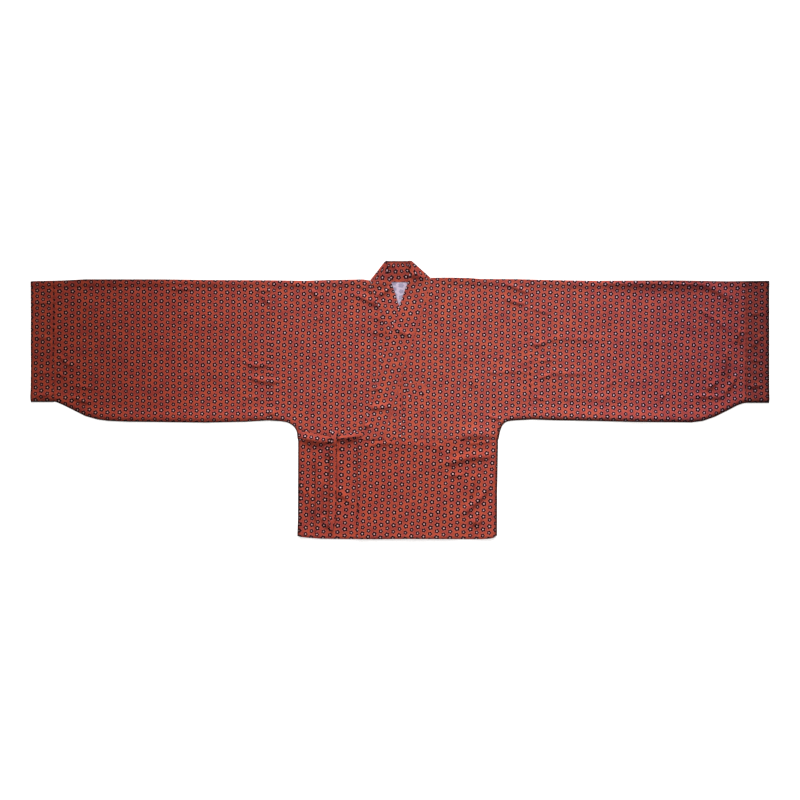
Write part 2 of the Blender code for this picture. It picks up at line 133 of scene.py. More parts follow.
# seam_x, seam_y, free_x, free_y: a collar leg from the crease at the shoulder down to the waist
LEG = {
    "left": (
        (78.5, 314.7, 29.6, 358.4), (76.9, 296.1, 21, 306.4), (69, 265.2, 11.2, 279.4),
        (52, 208.6, -6.7, 226.6), (35, 157.1, -24.2, 177.7), (17, 103, -41.7, 121), (2.45, 54, -54.3, 71),
        (-10, 10.3, -67, 23.2), (-21.9, -30.9, -77.3, -14.2), (-35.5, -77.3, -91.7, -69.5),
        (-43, -102.85, -100.4, -102.85),
    ),
    "right": (
        (-77.3, 307.7, -37.6, 358.4), (-74.3, 293.6, -22.8, 305.1), (-62.9, 262.7, -12.4, 274.2),
        (-46.4, 215, 1.2, 233.8), (-29.8, 157.1, 29.4, 177.7), (-11.8, 103, 46.9, 121),
        (2.75, 54, 59.5, 71), (15.2, 10.3, 72.2, 23.2), (27.1, -30.9, 82.5, -14.2),
        (40.7, -77.3, 96.9, -69.5), (48.2, -102.85, 105.6, -102.85),
    ),
}
APEX = 6  # the row of a leg that meets the centre front, where the overlap panel starts

# y, x: the upright edge of each waist panel front
PANEL_EDGE = {
    "left": ((-358.4, -110), (-103, -108)),
    "right": ((-358.4, 112), (-103, 107)),
}

# x, height: how far the folded edges stand up
SHOULDER_ROLL = (
    (-951, 3), (-850, 3.9), (-500, 4.6), (-330, 2.8), (-230, 3.9), (-90, 3.7), (90, 2.8), (240, 3.4),
    (300, 1.8), (370, 2.3), (480, 4.1), (700, 4.8), (800, 3), (951, 2.5),
)
UNDER_ROLL = (
    (-951, 6.2), (-890, 4.5), (-780, 4.2), (-500, 5.2), (-345, 5.8), (-268, 2), (0, 1.5), (250, 2),
    (330, 4.2), (520, 6), (760, 6.2), (890, 4.2), (951, 3),
)
# How far in from the edge a roll is highest, where it has come down, and its share at the very edge
ROLL_CREST = {"shoulder": 7.0, "under": 10.0}
ROLL_REACH = {"shoulder": 24.0, "under": 40.0}
ROLL_EDGE = {"shoulder": 0.9, "under": 0.0}

# Half of the steep side's width, height, reach of the gentle side, and the path's x, y, x, y and so on:
# the folds that show. The cloth is high on the left of the path, and the steep side falls to its right.
FOLDS = (
    # on the right shoulder and chest
    (4, 4.8, 22, -133, 272, -93, 257, -50, 234), (3.5, 2.4, 12, -117, 293, -90, 284, -59, 269),
    (4, 6.6, 14, -232, 284, -220, 269, -207, 256), (3.5, 2.6, 12, -217, 201, -205, 208, -193, 212),
    (3.5, 3.2, 12, -77, 171, -31, 166), (3.5, 2.8, 11, -72, 210, -57, 205, -44, 200),
    # along the right shoulder fold
    (4, 2.6, 14, -374, 279, -352, 277, -328, 281), (4.5, 4.4, 13, -368, 272, -352, 258, -334, 237),
    (4, 3.8, 14, -602, 284, -560, 282, -520, 283), (3, 2.4, 10, -288, 295, -262, 294, -243, 293),
    # across the right sleeve seam
    (4.5, 5.2, 16, -404, 58, -378, 51, -340, 43, -296, 45),
    (4, 4.8, 14, -410, 102, -382, 86, -352, 86, -328, 91), (3.5, 2.4, 12, -407, 3, -358, 3),
    (4.5, 4.6, 14, -348, -24, -340, -34, -320, -42), (2.5, 1.7, 10, -339, 130, -338, 40, -338, -42),
    # beside the right cuff
    (4.5, 4.4, 12, -884, 118, -872, 104, -860, 92, -840, 82), (4, 3.6, 12, -889, 76, -864, 53),
    (4, 2.4, 14, -850, 36, -816, 29, -780, 25), (4.5, 6, 12, -854, 7, -834, 0, -812, -7, -792, -13),
    # across the outer collar leg, low down
    (4.5, 4.6, 18, -88, -24, -59, -24, -14, -21), (4, 5.4, 12, -90, 20, -71, 24, -46, 26),
    (4, 6.6, 13, -112, -70, -95, -70, -74, -69),
    # below the waist seam
    (4, 3.2, 14, -84, -128, -61, -117, -33, -116, -18, -103),
    (4, 1.4, 15, -56, -114, 40, -120, 112, -124), (4, 4, 12, 118, -199, 147, -198, 168, -193),
    # under the ties, and beside the hanging end
    (4.5, 6, 18, -263, -92, -245, -103, -219, -108, -178, -112),
    (5, 5.4, 16, -170, -109, -148, -107, -131, -102, -93, -98),
    (5, 8, 12, -206, -296, -200, -310, -193, -323, -182, -332),
    (4, 4.2, 16, -163, -232, -131, -266, -96, -280),
    # below the waist at the left
    (3, 2.4, 14, 162, -116, 206, -113, 242, -110),
    (6.5, 7.2, 25, 96, -173, 131, -167, 165, -157, 200, -153, 227, -150, 252, -131),
    (4.5, 6.4, 22, 145, -304, 172, -292, 190, -274, 216, -250, 234, -222, 250, -196),
    (4.5, 4.6, 12, 174, -311, 195, -318, 214, -316),
    # above the waist at the left, where the first one is a puff
    (16, 6.2, 32, 258, -73, 201, -73, 142, -78), (4, 4.4, 12, 220, -41, 238, -48, 262, -53),
    # across the left sleeve seam and along the sleeve
    (3.8, 4.3, 13, 260, 298, 296, 286, 337, 268), (4.5, 4.8, 12, 261, 266, 281, 252, 329, 241),
    (3.5, 2.6, 12, 330, 236, 355, 227, 386, 219), (4, 2.6, 12, 246, 101, 258, 106, 271, 120),
    (4, 2.8, 12, 211, 78, 233, 68, 256, 63), (3.5, 2.2, 14, 242, 65, 288, 70, 335, 66),
    (4, 4.8, 14, 332, 141, 343, 139, 366, 141, 386, 147),
    (5.5, 2.5, 22, 340, 141, 373, 147, 412, 154, 471, 151, 546, 152),
    (3.5, 3.6, 12, 350, 98, 371, 98, 398, 102), (3.5, 4.2, 12, 354, 50, 371, 57, 394, 61),
    (5, 2.6, 20, 360, 69, 404, 65, 440, 63, 494, 67), (3.5, 3.2, 11, 337, 7, 355, 2, 376, -6),
    (5.5, 2.2, 22, 391, 1, 489, -1, 592, -5), (4.5, 0.9, 22, 515, 149, 644, 146, 772, 136, 870, 128),
    (4, 2.4, 15, 516, 22, 540, 36, 564, 54), (3.5, 5, 10, 667, -5, 680, 6, 688, 24),
    (4, 5.4, 13, 747, 5, 786, 6, 812, 4, 850, 7),
    # beside the left cuff
    (4.5, 7.2, 28, 489, 294, 644, 297, 735, 295, 779, 291, 812, 276, 845, 258, 872, 237, 888, 221),
    (3.5, 3, 15, 754, 239, 789, 216, 819, 196, 850, 165), (4.5, 8, 15, 788, 21, 805, 34, 824, 54),
    (5, 9, 13, 825, -1, 846, 26, 858, 41, 876, 73),
    # on the collar
    (4.5, 5.6, 13, -24, 189, -10, 179, 8, 168, 30, 160), (4, 4, 10, -48, 178, -37, 169, -27, 154),
    (4, 5.4, 11, -58, 262, -41, 273, -30, 281, -19, 293), (7, 6, 16, 20, 318, 34, 316, 45, 314, 68, 306),
    (4, 2.6, 10, -39, 338, -22, 343, -11, 332, -4, 316),
    # across the cuffs
    (4, 2.8, 12, 895, 213, 914, 219, 946, 218), (5, 5.6, 12, 900, 132, 915, 141, 926, 157, 944, 167),
    (4, 3.6, 12, 895, 103, 912, 98, 934, 97), (3.5, 1.2, 12, 895, 68, 920, 67, 946, 70),
    (4.5, 5.4, 12, 895, 28, 912, 32, 934, 34), (3.5, 1.7, 12, -948, 250, -920, 246, -895, 249),
    (3.5, 2.4, 12, -948, 157, -920, 157, -895, 154), (3.5, 1.7, 12, -948, 72, -920, 66, -895, 70),
    (3, 3, 9, -942, 8, -918, 9, -893, 11),
)
# Half-width, height of the banks, reach, and the path: creases that sink between two low banks
CREASES = (
    # beside the hanging end
    (4.5, 4.4, 12, -186, -112, -186, -128, -186, -156), (3.5, 4, 9, -159, -108, -159, -118, -160, -132),
    (5, 5.6, 14, -246, -195, -246, -226, -237, -244, -231, -275, -226, -316),
    (5, 5.6, 13, -197, -190, -198, -240, -199, -280, -201, -318), (3.5, 3.4, 11, -224, -134, -219, -188),
    # an old crease down the waist strip
    (2.4, 2.2, 9, -217, -138, -218, -250, -218, -357),
    # elsewhere on the waist strip
    (4, 4.4, 12, -160, -222, -158, -239, -153, -256), (4.5, 5, 13, 201, -182, 193, -219, 185, -262),
    (4.5, 5, 13, 185, -333, 198, -312, 210, -289), (4, 3.2, 11, 99, -110, 98, -122, 97, -136),
    # down the centre front seam, and on both sides of it
    (4, 3.2, 12, 56, -14, 60, -26, 66, -35, 65, -54), (3, 2.2, 11, 1, 72, 3, 45, 6, 12, 7, -60, 3, -114),
    (4, 3.6, 11, 190, 64, 189, 48, 187, 28),
    # beside the left cuff
    (4.5, 7, 12, 881, 186, 875, 167, 868, 141), (4.5, 7, 13, 848, 136, 840, 103, 838, 78, 829, 56),
    # at the end of the collar's back
    (3, 2, 9, 28, 356, 26, 335, 30, 312),
)
# The same as FOLDS for the back, which lies on the floor
BACK_FOLDS = (
    (9, 1.3, 34, -700, 60, -640, 150, -560, 240), (8, 1.2, 30, -420, 10, -380, 90, -370, 200),
    (9, 1.2, 32, -150, -60, -90, 40, -60, 170), (9, 1.3, 32, 60, 210, 120, 120, 150, -20),
    (9, 1.2, 34, 330, 250, 420, 170, 520, 130), (9, 1.3, 34, 620, 40, 700, 120, 830, 170),
    (9, 1.2, 30, -210, -320, -120, -250, -20, -210), (8, 1.2, 30, 40, -330, 110, -240, 220, -180),
)
NECK_STAND = {"left": 5.0, "right": 2.4}  # how far the collar's free edge stands up at the neck
NECK_STAND_FROM = (255.0, 318.0)  # y over which it rises
FOLD_FADE = 0.3  # the share of its length over which a fold rises at one end and sinks at the other

# wavelength along X, wavelength along Y, height: the unevenness of pressed cotton
WRINKLES = ((95.0, 60.0, 1.8), (34.0, 20.0, 0.6), (17.0, 12.0, 0.24))

SEAM_DIP = 1.1  # sewn edges are drawn in
SEAM_REACH = 5.0
PUCKER = 0.55  # the little waves along a seam
PUCKER_REACH = 11.0
PUCKER_LENGTH = 14.0
PUCKER_DRIFT = (1.7, 2.3)  # they come sooner or later by this angle, over this many of their lengths
HEM_STEP = 0.5  # a turned hem lies this much higher
HEM_WIDTH = 9.0
HEM_SOFT = 1.5  # half the width over which it steps down
EDGE_SOFT = 2.0  # the width over which the turned front edge does

# node: the piece's name, how the print lies on it, the size it is cut to (m) and its flat area (m2).
# The print: x, y of a large flower, its columns' lean in degrees, and the stretch across and along them.
SHEETS = {
    "body_left": ("body_half_left", (74.2, 53.1, -1.5, 0.995, 1.0), (0.332, 0.832), 0.2576),
    "body_right": ("body_half_right", (-160.1, 52.1, -1.5, 1.0, 1.0), (0.337, 0.832), 0.2607),
    "sleeve_left": ("sleeve_tube_left", (598.0, 50.5, -1.6, 1.0, 1.01), (0.556, 0.738), 0.398),
    "sleeve_right": ("sleeve_tube_right", (-521.4, 191.6, -0.5, 0.985, 1.0), (0.556, 0.738), 0.4009),
    "cuff_left": ("cuff_band_left", (899.8, 126.0, -0.5, 0.98, 1.0), (0.0592, 0.627), 0.0371),
    "cuff_right": ("cuff_band_right", (-935.5, 126.2, -1.0, 0.98, 1.0), (0.0592, 0.623), 0.0368),
    "overlap_left": ("overlap_strip_left", (-12.1, -22.0, -1.5, 1.0, 1.0), (0.0456, 0.157), 0.0035),
    "overlap_right": ("overlap_strip_right", (17.0, -22.0, -1.5, 1.0, 1.0), (0.0456, 0.157), 0.0035),
    "collar": ("collar_band", (0.2, 504.0, 0.0, 1.0, 1.0), (0.0592, 1.015), 0.06),
    "waist_panel": ("waist_strip", (1204.0, -186.1, 2.6, 1.03, 1.05), (1.247, 0.2555), 0.3168),
    "tie_side": ("side_tie", (-2.5, 19.5, 0.0, 1.0, 1.0), (0.0216, 0.095), 0.0018),
    "tie_front": ("front_tie", (-7.0, 3.0, 0.0, 1.0, 1.0), (0.013, 0.072), 0.0009),
    "tie_knot": ("knot_wrap", (2.4, 0.0, 0.0, 1.0, 1.0), (0.018, 0.04), 0.0007),
    "tie_end": ("hanging_tie_end", (-4.2, 9.0, 0.0, 1.0, 1.0), (0.0164, 0.22), 0.0035),
}

# x, how far the print moves in along X where the right sleeve is drawn in to its cuff
CUFF_PULL = ((-891, 6.4), (-876, 3.8), (-861, 2.5), (-845, 1.8), (-830, 0.5), (-814, 0))

# x, how far the print moves where the ties pull the inner front, and where folds gather the outer one
INNER_PULL = ((-254, 3.3), (-240, 2.3), (-210, 0.1), (-191, 1.2), (-155, 6.5), (-136, 9.7))
OUTER_PULL = ((-110, -1.4), (84, -1.8), (192, 5.4), (250, 5.4))
# How far it moves across the collar on the inner leg, at both ends of the back, and on the outer leg
COLLAR_PULL = (6.3, 0.0, 0.0, 4.1)

# x, y, width, height above the cloth: the middle of each stretch of the tie
TIES = {
    "tie_side": (
        (-261.5, -87, 21.6, 1), (-248, -89.6, 21.4, 3), (-226, -94.2, 20.6, 4.2), (-202, -99, 18.4, 3.4),
        (-184, -102, 15, 2), (-170, -103.5, 12, 1),
    ),
    "tie_front": (
        (-92, -87.6, 12.4, -2.6), (-104, -88.8, 12.4, 0.6), (-118, -90.2, 12.4, 2.8),
        (-138, -92.6, 12, 3.6), (-156, -95.4, 11.2, 2.2), (-168, -98, 10, 1),
    ),
    "tie_end": (
        (-171, -110, 14, 2.2), (-172, -122, 15.8, 1.8), (-172.6, -140, 16.4, 1.4),
        (-172.2, -180, 16.4, 0.8), (-172, -220, 16.4, 1.3), (-172.6, -260, 16.4, 0.8),
        (-173.2, -292, 16.4, 1.4), (-176.5, -312, 17, 3.2), (-180.5, -327, 17.6, 4.2),
    ),
}
TIE_CROWN = 1.3  # the bands are fullest along their middle
TIE_PLEATS = 3  # the knot draws them into little pleats
TIE_PLEAT = 0.8
TIE_PLEAT_RUN = 30.0
TIE_END_SLANT = 10.0  # the free end is cut on a slant
TIE_END_RUN = 40.0
KNOT_MIDDLE = (-169.8, -98.5)
KNOT_HALF = (8.0, 20.0, 11.0)  # half its width and length, and its height above the cloth
KNOT_LEAN = 1.5  # its lower end lies this much further out on the wearer's right
KNOT_NARROW = 0.22  # it is narrower by this share at its ends
KNOT_ROUND = (0.8, 0.4)  # how it rounds along its length, and the share by which its sides come down
KNOT_CREASE = (0.5, 2.5)  # the height of the wrap's creases, and how many halves of a wave they make
KNOT_CUT = 40.0  # the length of cloth over it
TIE_CLEAR = 0.3  # between a tie and the cloth under it

# Stitches, tone on tone
STITCH = (2.7, 0.5, 0.4)  # length, width, height
STITCH_PITCH = 4.0
STITCH_INSET = 3.0  # from a sewn or folded edge
STITCH_END = 4.0  # from the end of a cuff's row, and from the waist on the front edge
STITCH_COVERED = 2.0  # the inner leg's row ends this far from the outer leg
STITCH_SUNK = 0.2  # the collar's rows are pulled in a little
STITCH_POINTS = 60
HEM_STITCHED = (244.0, -256.0)  # x
WAIST_STITCHED = (248.0, -258.0)
FRONT_STITCHED_TO = -350.0  # y

# The print, as it is on the flat cloth
COLUMN_PITCH = 15.5
ROW_PITCH = 15.6
COLUMN_SHIFT = 7.8  # every second column lies half a step lower
SMALL = 0.13  # every second flower of a column is smaller by this share
HALF_PETAL = radians(36)  # half the angle from one petal to the next
PETAL_PLACE = 3.75  # from the flower's middle to the petal's
PETAL_EDGE = (2.85, 2.55)  # a petal's radius, outside and inside its soft edge
STAR_EDGE = (1.0, 2.25)  # the star's radius in line with a petal, and between two
STAR_SOFT = (-0.2, 0.2)
STAR_DULL = 0.15  # the least share of grey in a star
HALO_EDGE = (8.4, 5.4)
HALO_SHARE = 0.62
GHOST_SHARE = 0.5  # how strongly the print shows through on the reverse

# The cloth's surface, in sizes on the cut cloth
GRAIN_WANDER = 3.5  # how far the print is out of line where the grain wanders
GRAIN_LENGTH = 110.0
PATCH_LENGTH = 26.0  # the ground's paler and pinker patches
PATCH_RANGE = (0.38, 0.62)  # of a noise: the ground turns pinker between these
DRY_LENGTH = 30.0  # patches that are a little more or less rough
PRESSED_LENGTH = 13.0  # the small waves that pressing leaves
SLUB = (1.6, 18.0)  # the width and length of a thicker stretch of thread
THREAD_PITCH = 1.3
NOISE_RANGE = (0.3, 0.7)  # nearly all of a noise lies between these
TWISTS = 900.0  # to a metre: a thread's turns are drawn 1.1 mm long, twice as coarse as real ones
FIBRES = 300.0  # to a metre: the floor's are drawn 3.3 mm wide, far coarser than real ones
WAVE_OF_ONE = pi / 10  # a wave texture of this scale has one wave to a unit

# Painted shade, with some soiling from handling: the cloth is darkened along its edges and in thin lines
EDGE_SHADE_FADE = (2.6, 8.6)  # how far in from an edge the darkening starts to fade, and ends
EDGE_SHADE_SHARE = 0.9  # how much of its colour the cloth takes at most
EDGE_SHADE_LESS = 0.6  # along the shoulder fold, the cuff ends, the hem and the collar's top, which are darkened less
EDGE_SHADE_NARROW_RIGHT = 1.6  # the right side's under edge is darkened over a narrower band by this factor
EDGE_SHADE_SKIP = 10.0  # the shoulder fold counts as this much further in where it isn't darkened
EDGE_SHADE_CUFF = (895.0, 850.0)  # x: from darkened most to not darkened on the left sleeve
EDGE_SHADE_SHOULDER = (750.0, 350.0)  # x: from darkened less to not darkened on both
# path, share: thin lines of painted shade in old creases, along the cuff seams and the waist panel's front
# edge, beside the hanging tie end, below the front tie and beside the collar
SHADE_LINES = (
    (((-891, 300), (-891, 3)), 0.38),
    (((891, 300), (891, 0)), 0.3),
    (((-218, -138), (-218.5, -240), (-218, -345)), 0.85),
    (((-182, -128), (-182, -220), (-184, -312)), 0.9),
    (((-163, -124), (-163, -220), (-165, -308)), 0.5),
    (((-162, -102), (-140, -98), (-116, -96)), 0.9),
    (((-86, 292), (-78, 276), (-66, 248), (-57, 232)), 0.6),
    (((-109.5, -116), (-110.5, -230), (-111.5, -352)), 0.5),
)
SHADE_LINE_REACH = (0.3, 3.0)
SHADE_LINE_LENGTH = 14.0  # how far apart it is darkest
SHADE_LINE_UNEVEN = 0.3

# Colours
CLOTH_ORANGE = linear("#B55139")
CLOTH_PINK = linear("#9F4238")
PETAL_BLACK = linear("#220102")
PETAL_GREY = linear("#2C0506")
STAR_LAVENDER = linear("#F6D3DD")
STAR_GREY = linear("#C9A3AE")
HALO_LILAC = linear("#C07078")
REVERSE_LAVENDER = linear("#C6B9D2")
REVERSE_FLOWER = linear("#60658A")
THREAD_RED = linear("#A5503F")
THREAD_SHADE = linear("#7E392D")
# painted shade, with some soiling: the dark brown of the darkened edges and thin lines
SHADE_AND_SOIL_BROWN = linear("#2A0F0A")
FLOOR_WHITE = linear("#F7F6F4")
STUDIO_WHITE = linear("#FFFFFF")

# x in metres, tint: painted light falloff, the cloth painted darker toward both sleeve ends than in its
# middle, with a further step down on the left cuff
FALLOFF_TINT = (
    (-0.925, "#B59C8B"), (-0.83, "#BA9F91"), (-0.73, "#C4ABA0"), (-0.62, "#D2B9B0"), (-0.52, "#E0CCC3"),
    (-0.417, "#E8D8D2"), (-0.2575, "#F3E9E5"), (-0.16, "#F7EFEC"), (0.1, "#FFFEF8"), (0.25, "#FFFFFF"),
    (0.407, "#FCFCFF"), (0.51, "#FAF7FF"), (0.613, "#F0EAF9"), (0.716, "#E5DCEE"), (0.82, "#D9CDE1"),
    (0.889, "#CEC2D4"), (0.892, "#B6AAB5"), (0.95, "#AA9EAA"),
)

# y (m), tint: the waist strip and the back of the collar are tinted darker
CUT_TINT = (
    (-0.36, "#F4E8E2"), (-0.1031, "#F4E8E2"), (-0.1027, "#FFFFFF"), (0.303, "#FFFFFF"),
    (0.312, "#E4D9DB"), (0.36, "#E4D9DB"),
)

# Light and camera
PICTURE_WIDTH = 2.06  # metres of floor across the picture
LENS = 85.0
SENSOR = 36.0
MAIN_LIGHT = 3.9
MAIN_SPREAD = 30.0  # degrees
MAIN_FROM = (0.02, 0.87, 0.5)  # the way to it from the jacket
FILL_LIGHT = 0.6
FLOOR_GLOW = 0.42
FLOOR_HALF = 12.0  # metres

# Mesh steps
STEP = 2.6  # the usual distance between points, in mm
CURVE_STEPS = 4  # between two points of a fold's path or a collar leg's edge
ARC_STEPS = 8  # round a folded edge
BACK_STEPS = 36
NECK_STEPS = 5  # between two rows of a collar leg
ARMPIT_STEPS = 3  # between two points of the armpit's curve
BAND_STEPS = 20  # across the collar
LEG_STEPS = 18  # between two rows of a collar leg, along the collar
TIE_STEPS = 8  # between two rows of a tie
TIE_ACROSS = 12
KNOT_STEPS = 20
OVERLAP_ACROSS = 12
OVERLAP_TIP = 5.0  # the overlap panel starts this far below the legs' meeting
WAIST_STEPS = 96
SIDE_CLEAR = 6.0  # the waist strip's fronts end this far from its side folds
BACK_NECK_POINTS = 20  # on each half
LEG_SKIPPED = 2  # the steps of a leg before its stitches start
MERGE_DISTANCE = 1e-6  # metres
BACK_COLLAR_END = 0.86  # the share of the back neck after which the collar's crease begins


def blend(low, high, share):
    return low + (high - low) * share


def ease(start, end, value):
    """0 before start, 1 after end, and a soft step between them."""
    share = np.clip((value - start) / (end - start), 0.0, 1.0)
    return share * share * (3 - 2 * share)


def reading(rows, value):
    """Straight-line reading of a table of two columns."""
    table = np.array(rows, float)
    return np.interp(value, table[:, 0], table[:, 1])


def shares(steps):
    return np.linspace(0.0, 1.0, steps + 1)


def steps_for(length):
    return max(2, round(abs(length) / STEP))


def stepped(start, end):
    """Values from start to end, about the usual step apart."""
    return np.linspace(start, end, steps_for(end - start) + 1)


def side_by_side(*columns):
    """Points from their coordinates. A single number does for all of them."""
    return np.column_stack(np.broadcast_arrays(*columns))


def smooth_line(rows, steps):
    """A soft curve through the rows, with the same number of steps between each two."""
    rows = np.array(rows, float)
    padded = np.vstack((2 * rows[0] - rows[1], rows, 2 * rows[-1] - rows[-2]))
    share = np.linspace(0.0, 1.0, steps, endpoint=False)[:, None]
    runs = []
    for before, start, end, after in zip(padded, padded[1:], padded[2:], padded[3:]):
        rise = (end - before) * share
        bend = (2 * before - 5 * start + 4 * end - after) * share**2
        turn = (3 * start - before - 3 * end + after) * share**3
        runs.append(start + (rise + bend + turn) / 2)
    return np.vstack(runs + [rows[-1:]])


def lengths_along(line):
    """How far along a line each of its points is."""
    return np.concatenate(([0.0], np.cumsum(np.hypot(*np.diff(line[:, :2], axis=0).T))))


def directions(line):
    run = np.gradient(line[:, :2], axis=0)
    return run / np.hypot(*run.T)[:, None]


def distance_to(line, x, y):
    """The distance of each point from a line of straight runs, its side, and how far along it is."""
    starts = lengths_along(line)
    nearest = np.full(x.shape, np.inf)
    side = np.zeros(x.shape)
    along = np.zeros(x.shape)
    for start, end, before in zip(line, line[1:], starts):
        length = np.hypot(*(end - start))
        if length == 0:
            continue
        run_x, run_y = (end - start) / length
        ahead = np.clip((x - start[0]) * run_x + (y - start[1]) * run_y, 0.0, length)
        off_x = x - start[0] - ahead * run_x
        off_y = y - start[1] - ahead * run_y
        distance = np.hypot(off_x, off_y)
        closer = distance < nearest
        nearest = np.where(closer, distance, nearest)
        side = np.where(closer, np.sign(off_y * run_x - off_x * run_y), side)
        along = np.where(closer, before + ahead, along)
    return nearest, side, along / starts[-1]


def under_edge(side):
    """The outline from the hem up the side, round the armpit and along the under side of the sleeve."""
    sign = SIGN[side]
    rows = [(x, y) for y, x in SIDE[side]] + list(ARMPIT[side]) + list(SLEEVE_LOW[side][::sign])
    return np.array(rows + [(sign * CUFF_END_X, CUFF_LOW_Y[side])])


def leg_line(side, seam):
    """The sewn or the free edge of a collar leg, as rows of y and x that rise in y."""
    rows = smooth_line(LEG[side], CURVE_STEPS)[::-1]
    return rows[:, (1, 0)] if seam else rows[:, (3, 2)]


UNDER_EDGE = {side: under_edge(side) for side in SIGN}
LEG_SEAM = {side: leg_line(side, True) for side in SIGN}
LEG_FREE = {side: leg_line(side, False) for side in SIGN}
APEX_Y = LEG["left"][APEX][1]


def from_under_edges(x, y):
    """The distance in from the left and from the right under edge."""
    return [distance_to(UNDER_EDGE[side], x, y)[0] for side in SIGN]


def roll(distance, height, edge):
    """The height that a folded edge adds, by the distance from it."""
    rise = blend(ROLL_EDGE[edge], 1.0, ease(0.0, ROLL_CREST[edge], distance))
    return height * rise * (1 - ease(ROLL_CREST[edge], ROLL_REACH[edge], distance))


def rolls(x, y):
    """The cloth stands up along the shoulder fold, and along the side and under edges."""
    below_fold = np.maximum(0.0, reading(SHOULDER, x) - y)
    at_shoulder = roll(below_fold, reading(SHOULDER_ROLL, x), "shoulder")
    at_low = roll(np.where(x > CENTRE_X, *from_under_edges(x, y)), reading(UNDER_ROLL, x), "under")
    return np.maximum(at_shoulder, at_low)


def folds(x, y, ridges=FOLDS, sinks=CREASES):
    """The folds and creases of the tables. A fold is steep along its path and gentle beyond it."""
    total = np.zeros(x.shape)
    rows = [(*row, False) for row in ridges] + [(*row, True) for row in sinks]
    for steep, height, reach, *path, sunk in rows:
        line = smooth_line(np.reshape(path, (-1, 2)), CURVE_STEPS)
        near = (x > line[:, 0].min() - reach) & (x < line[:, 0].max() + reach)
        near &= (y > line[:, 1].min() - reach) & (y < line[:, 1].max() + reach)
        if not near.any():
            continue
        distance, side, along = distance_to(line, x[near], y[near])
        over = distance if sunk else distance * np.where(side == 0, 1, side)
        rise = ease(0.0 if sunk else -steep, steep, over) * (1 - ease(steep, reach, over))
        fade = ease(0.0, FOLD_FADE, along) * ease(0.0, FOLD_FADE, 1 - along)
        total[near] += height * fade * rise
    return total


def wrinkles(x, y):
    """Low uneven waves all over."""
    total = np.zeros(x.shape)
    for long, wide, height in WRINKLES:
        points = np.stack((x / long, y / wide, np.full(x.shape, long)), axis=-1).reshape(-1, 3)
        waves = np.array([noise.noise(Vector(point)) for point in points])
        total += height * waves.reshape(x.shape)
    return total


def seam_dip(distance, along):
    """A seam draws the cloth in, with little waves along it."""
    reaches = (SEAM_REACH, PUCKER_REACH)
    near, beside = (np.clip(1 - (distance / reach) ** 2, 0.0, 1.0) ** 2 for reach in reaches)
    angle, lengths = PUCKER_DRIFT
    drift = angle * np.sin(along / (lengths * PUCKER_LENGTH))
    return PUCKER * np.sin(2 * pi * along / PUCKER_LENGTH + drift) * beside - SEAM_DIP * near


def seams(x, y):
    """The sleeve, cuff, waist and centre seams."""
    total = seam_dip(np.abs(np.abs(x) - SLEEVE_SEAM_X), y)
    total += seam_dip(np.abs(np.abs(x) - CUFF_SEAM_X), y)
    at_waist = seam_dip(np.abs(y - WAIST_Y), x)
    at_centre = seam_dip(np.abs(x - CENTRE_X), y)
    total += np.where(np.abs(x) < SLEEVE_SEAM_X, at_waist, 0.0)
    total += np.where((y > WAIST_Y) & (y < APEX_Y), at_centre, 0.0)
    return total


def hem_step(x, y):
    """The turned hem is a second layer."""
    return HEM_STEP * (1 - ease(HEM_WIDTH - HEM_SOFT, HEM_WIDTH + HEM_SOFT, y - reading(HEM, x)))


def front_edge_x(side, y):
    """The free edge of a front: the collar's above the waist, the waist panel's below it."""
    return np.where(y < WAIST_Y, reading(PANEL_EDGE[side], y), reading(LEG_FREE[side], y))


def back_height(x, y):
    """The back is pressed flat by the jacket's own weight, but for a few low folds."""
    return BACK + folds(x, y, BACK_FOLDS, ())


def on_back(x, y, height):
    """Nowhere does the front sink into the back that it lies on."""
    return np.maximum(height, back_height(x, y) + WALL + GAP)


def inner_height(x, y):
    """The wearer's right side. Its folds stop where the outer front covers it."""
    showing = ease(*COVERED, front_edge_x("left", y) - x)
    relief = folds(x, y) + wrinkles(x, y) + seams(x, y)
    return on_back(x, y, INNER + rolls(x, y) + relief * showing + hem_step(x, y))


def outer_height(x, y):
    """The wearer's left side, which is raised over the inner front and settles on the back beyond it."""
    edge = front_edge_x("right", y)
    edge = np.where(y > APEX_Y, np.maximum(edge, reading(LEG_SEAM["left"], y)), edge)
    lift = LIFT * (1 - ease(*SETTLING, x - edge))
    turned = 1 - ease(HEM_WIDTH - EDGE_SOFT, HEM_WIDTH, x - front_edge_x("left", y))
    turned = np.where(y < WAIST_Y, turned, 0.0)
    relief = folds(x, y) + wrinkles(x, y) + seams(x, y) + HEM_STEP * turned + hem_step(x, y)
    return on_back(x, y, INNER + np.hypot(lift, rolls(x, y)) + relief)


HEIGHT = {"left": outer_height, "right": inner_height}


def top_height(x, y):
    """The cloth that shows from above."""
    return np.where(x > front_edge_x("left", y), outer_height(x, y), inner_height(x, y))


